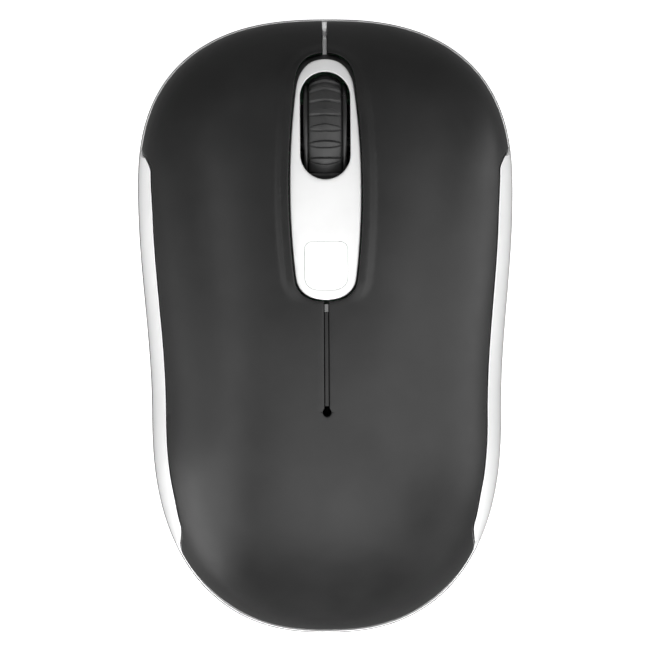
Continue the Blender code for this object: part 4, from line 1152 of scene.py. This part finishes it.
CHIP_EPOXY = plastic("chip_epoxy", grey(0.016), grey(0.026), 0.40, 0.55, 4200.0, 0.02, 0.5)
SWITCH_BODY = plastic("switch_body", grey(0.020), grey(0.030), 0.30, 0.42, 2600.0, 0.02, 0.4)
TRAY_BLACK = plastic("tray_plastic", grey(0.022), grey(0.034), 0.42, 0.58, 1800.0, 0.03, 0.5)
PLUNGER_RED = plastic("plunger_plastic", (0.46, 0.04, 0.02), (0.60, 0.06, 0.03), 0.35, 0.5, 2400.0,
                      0.02, 0.3)
KNOB_GREY = plastic("knob_plastic", grey(0.50), grey(0.58), 0.32, 0.45, 2400.0, 0.02, 0.4)
ROTOR_WHITE = plastic("rotor_plastic", grey(0.60), grey(0.70), 0.35, 0.48, 2000.0, 0.02, 0.3)
SLEEVE_BLUE = plastic("capacitor_sleeve", (0.02, 0.03, 0.09), (0.03, 0.05, 0.13), 0.25, 0.35,
                      1500.0, 0.01, 0.3)
STEEL = brushed_metal("plated_steel", grey(0.50), grey(0.62), 0.25, 0.38)
SPRING_STEEL = brushed_metal("spring_steel", grey(0.58), grey(0.70), 0.18, 0.28)
CRYSTAL_CAN = brushed_metal("crystal_can", (0.62, 0.58, 0.50), (0.74, 0.70, 0.62), 0.2, 0.32)
CLEAR_RESIN = resin("clear_plastic", grey(0.86), grey(0.94), 0.04, 0.09, 0.85)
LED_RESIN = resin("led_resin", (0.60, 0.01, 0.01), (0.75, 0.03, 0.02), 0.08, 0.14, 0.5)
BOARD_GREEN = circuit_material()
CELL_WRAP = wrap_material()

NODE_FINISHES = {
    "bottom_case": CASE_BLACK, "battery_door": CASE_BLACK, "battery_tray": TRAY_BLACK,
    "front_glide": GLIDE_WHITE, "rear_glide_left": GLIDE_WHITE, "rear_glide_right": GLIDE_WHITE,
    "main_board": BOARD_GREEN, "key_board": BOARD_GREEN, "board_ribbon": ROTOR_WHITE,
    "sensor_chip": CHIP_EPOXY, "radio_chip": CHIP_EPOXY, "crystal": CRYSTAL_CAN,
    "capacitor": SLEEVE_BLUE, "sensor_lens": CLEAR_RESIN, "sensor_led": LED_RESIN,
    "left_switch": SWITCH_BODY, "right_switch": SWITCH_BODY, "middle_switch": SWITCH_BODY,
    "left_switch_plunger": PLUNGER_RED, "right_switch_plunger": PLUNGER_RED,
    "middle_switch_plunger": PLUNGER_RED, "key_switch": STEEL, "key_switch_plunger": CHIP_EPOXY,
    "scroll_encoder": SWITCH_BODY, "encoder_rotor": ROTOR_WHITE, "power_switch": STEEL,
    "power_switch_knob": KNOB_GREY, "battery": CELL_WRAP, "flat_contact": SPRING_STEEL,
    "spring_contact": SPRING_STEEL, "receiver_plug": STEEL, "case_screw_left": STEEL,
    "case_screw_right": STEEL,
}


def finish_nodes():
    """Give every node that the scene carries over its own finish."""
    for name, node in frame["nodes"].items():
        if node.hide_render:
            continue
        shade = NODE_FINISHES.get(name, INNER_BLACK)
        node.data.materials.clear()
        node.data.materials.append(shade)


# ---------------- underside

GRIP_COUNT = 5
GRIP_PITCH = 1.5
GRIP_START = 4.0          # from the door's rear edge to the first rib
GRIP_HALF = 4.6           # half the length of the middle rib
GRIP_SHORTENING = 0.5
GRIP_WIDTH = 0.42
GRIP_RISE = 0.3
KNOB_RIB_PITCH = 0.6
KNOB_RIB_RADIUS = 0.2
SINK = 0.02               # how far a rib's foot reaches into the part that carries it


def round_bar(name, y, z, half_length):
    """Low rib with a round back and round ends, lying across the battery door."""
    rings = []
    for turn in np.linspace(0, np.pi, 13):
        x = -half_length * math.cos(turn) * (1 - 0.15 * math.sin(turn) ** 2)
        size = GRIP_WIDTH * max(0.08, math.sin(turn)) ** 0.35
        rise = GRIP_RISE * size / GRIP_WIDTH
        ring = [(x, y - size * math.cos(angle), z - rise * math.sin(angle))
                for angle in np.linspace(0, np.pi, 9)]
        rings.append(np.array(ring))
    bar = new_bar(name, rings, CASE_BLACK, 50)
    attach(bar, "door")


def round_ridge(name, x, y, z, half_length):
    """Small round-backed ridge along y on the power switch's knob."""
    rings = []
    for place in np.linspace(-half_length, half_length, 9):
        size = KNOB_RIB_RADIUS * math.sqrt(max(0.05, 1 - (place / half_length) ** 4))
        ring = [(x - size * math.cos(angle), y + place, z - size * math.sin(angle))
                for angle in np.linspace(0, np.pi, 9)]
        rings.append(np.array(ring))
    ridge = new_bar(name, rings, KNOB_GREY, 50)
    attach(ridge, "power_knob")


def make_door_grips():
    """Ribs that a thumb pushes against to slide the door's rear edge free."""
    low = node_box("battery_door")[0]
    for index in range(GRIP_COUNT):
        y = low.y + GRIP_START + GRIP_PITCH * index
        half = GRIP_HALF - GRIP_SHORTENING * abs(index - (GRIP_COUNT - 1) / 2)
        round_bar(f"door_grip_{index}", y, low.z + SINK, half)


def make_knob_ribs():
    """Three fine ridges on the power switch's sliding knob."""
    low, high = node_box("power_switch_knob")
    middle = (low + high) / 2
    half = (high.y - low.y) / 2 - 0.4
    for index in range(3):
        x = middle.x + KNOB_RIB_PITCH * (index - 1)
        round_ridge(f"knob_rib_{index}", x, middle.y, low.z + SINK, half)


# ---------------- stage

AIM = (0, 0, 0.02)        # metres from here on
FLOOR_HALF = 1.5
LIGHTS = (                # name, place, size, power, the kind of light it is hidden from
    ("overhead", (0.05, -0.38, 0.8), (1.0, 1.2), 5.8, "diffuse"),
    ("right_high", (0.5, 0.1, 0.6), (0.9, 0.45), 2.2, "diffuse"),
    ("right_wall", (0.8, 0.03, 0.06), (0.6, 1.0), 3.1, None),
    ("right_rear_wall", (0.62, -0.5, 0.1), (0.6, 0.9), 0.9, None),
    ("left_high", (-0.55, 0.1, 0.55), (0.9, 0.25), 1.3, "diffuse"),
    ("left_wall", (-0.8, -0.15, 0.12), (0.7, 0.9), 1.2, None),
    ("left_rear_wall", (-0.71, -0.42, 0.0), (0.6, 1.1), 4.0, None),
    ("fill", (0, -0.8, 0.65), (0.9, 0.6), 27.0, "glossy"),
    ("front_fill", (0, 0.5, 0.8), (0.6, 0.4), 4.5, "glossy"),
)
CAMERA_DISTANCE = 3.0
CAMERA_TILT = math.radians(0.15)
CAMERA_TURN = math.radians(-0.35)
CAMERA_AIM = (-0.00018, 0.0002, 0.0085)
SENSOR_WIDTH = 36.0
VIEW_WIDTH = 0.104        # what the picture spans at the camera's aim


def area_light(name, place, size, power):
    data = bpy.data.lights.new(name, "AREA")
    data.shape = "RECTANGLE"
    data.size = size[0]
    data.size_y = size[1]
    data.energy = power
    light = bpy.data.objects.new(name, data)
    light.location = place
    light.rotation_euler = (Vector(AIM) - Vector(place)).to_track_quat("-Z", "Y").to_euler()
    light.visible_camera = False
    bpy.context.scene.collection.objects.link(light)
    return light


def make_lights():
    """Large soft panels. Some light the colours only and some are seen in reflections only."""
    for name, place, size, power, hidden_from in LIGHTS:
        light = area_light(name, place, size, power)
        light.visible_diffuse = hidden_from != "diffuse"
        light.visible_glossy = hidden_from != "glossy"


def make_floor():
    """Pale floor that glows a little and isn't seen in reflections."""
    mesh = bpy.data.meshes.new("floor")
    half = FLOOR_HALF
    corners = [(-half, -half, 0), (half, -half, 0), (half, half, 0), (-half, half, 0)]
    mesh.from_pydata(corners, [], [(0, 1, 2, 3)])
    shade = shader_material("floor", grey(0.45), 0.7)
    set_inputs(shader_of(shade), Emission_Color=(1, 1, 1, 1), Emission_Strength=0.85)
    mesh.materials.append(shade)
    floor = bpy.data.objects.new("floor", mesh)
    bpy.context.scene.collection.objects.link(floor)
    floor.visible_glossy = False


def make_world():
    world = bpy.data.worlds.new("studio")
    world.use_nodes = True
    set_inputs(world.node_tree.nodes["Background"], Color=(1, 1, 1, 1), Strength=0.2)
    bpy.context.scene.world = world
    bpy.context.scene.view_settings.view_transform = "Standard"


def make_camera():
    """Looking straight down, turned a very little on its own axis."""
    data = bpy.data.cameras.new("camera")
    data.sensor_width = SENSOR_WIDTH
    data.lens = SENSOR_WIDTH * CAMERA_DISTANCE / VIEW_WIDTH
    data.clip_end = 10.0
    camera = bpy.data.objects.new("camera", data)
    up = Vector((-math.sin(CAMERA_TILT), 0, math.cos(CAMERA_TILT)))
    camera.location = Vector(CAMERA_AIM) + up * CAMERA_DISTANCE
    camera.rotation_euler = (0, -CAMERA_TILT, CAMERA_TURN)
    bpy.context.scene.collection.objects.link(camera)
    bpy.context.scene.camera = camera


make_palm()
make_button(-1, "left_skin", "left_button")
make_button(1, "right_skin", "right_button")
make_frame()
make_shade_line_rim()
make_slot_ribs()
make_trim_seat()
make_trim()
make_key()
make_tyre()
make_hub()
make_door_grips()
make_knob_ribs()
finish_nodes()
make_floor()
make_world()
make_lights()
make_camera()
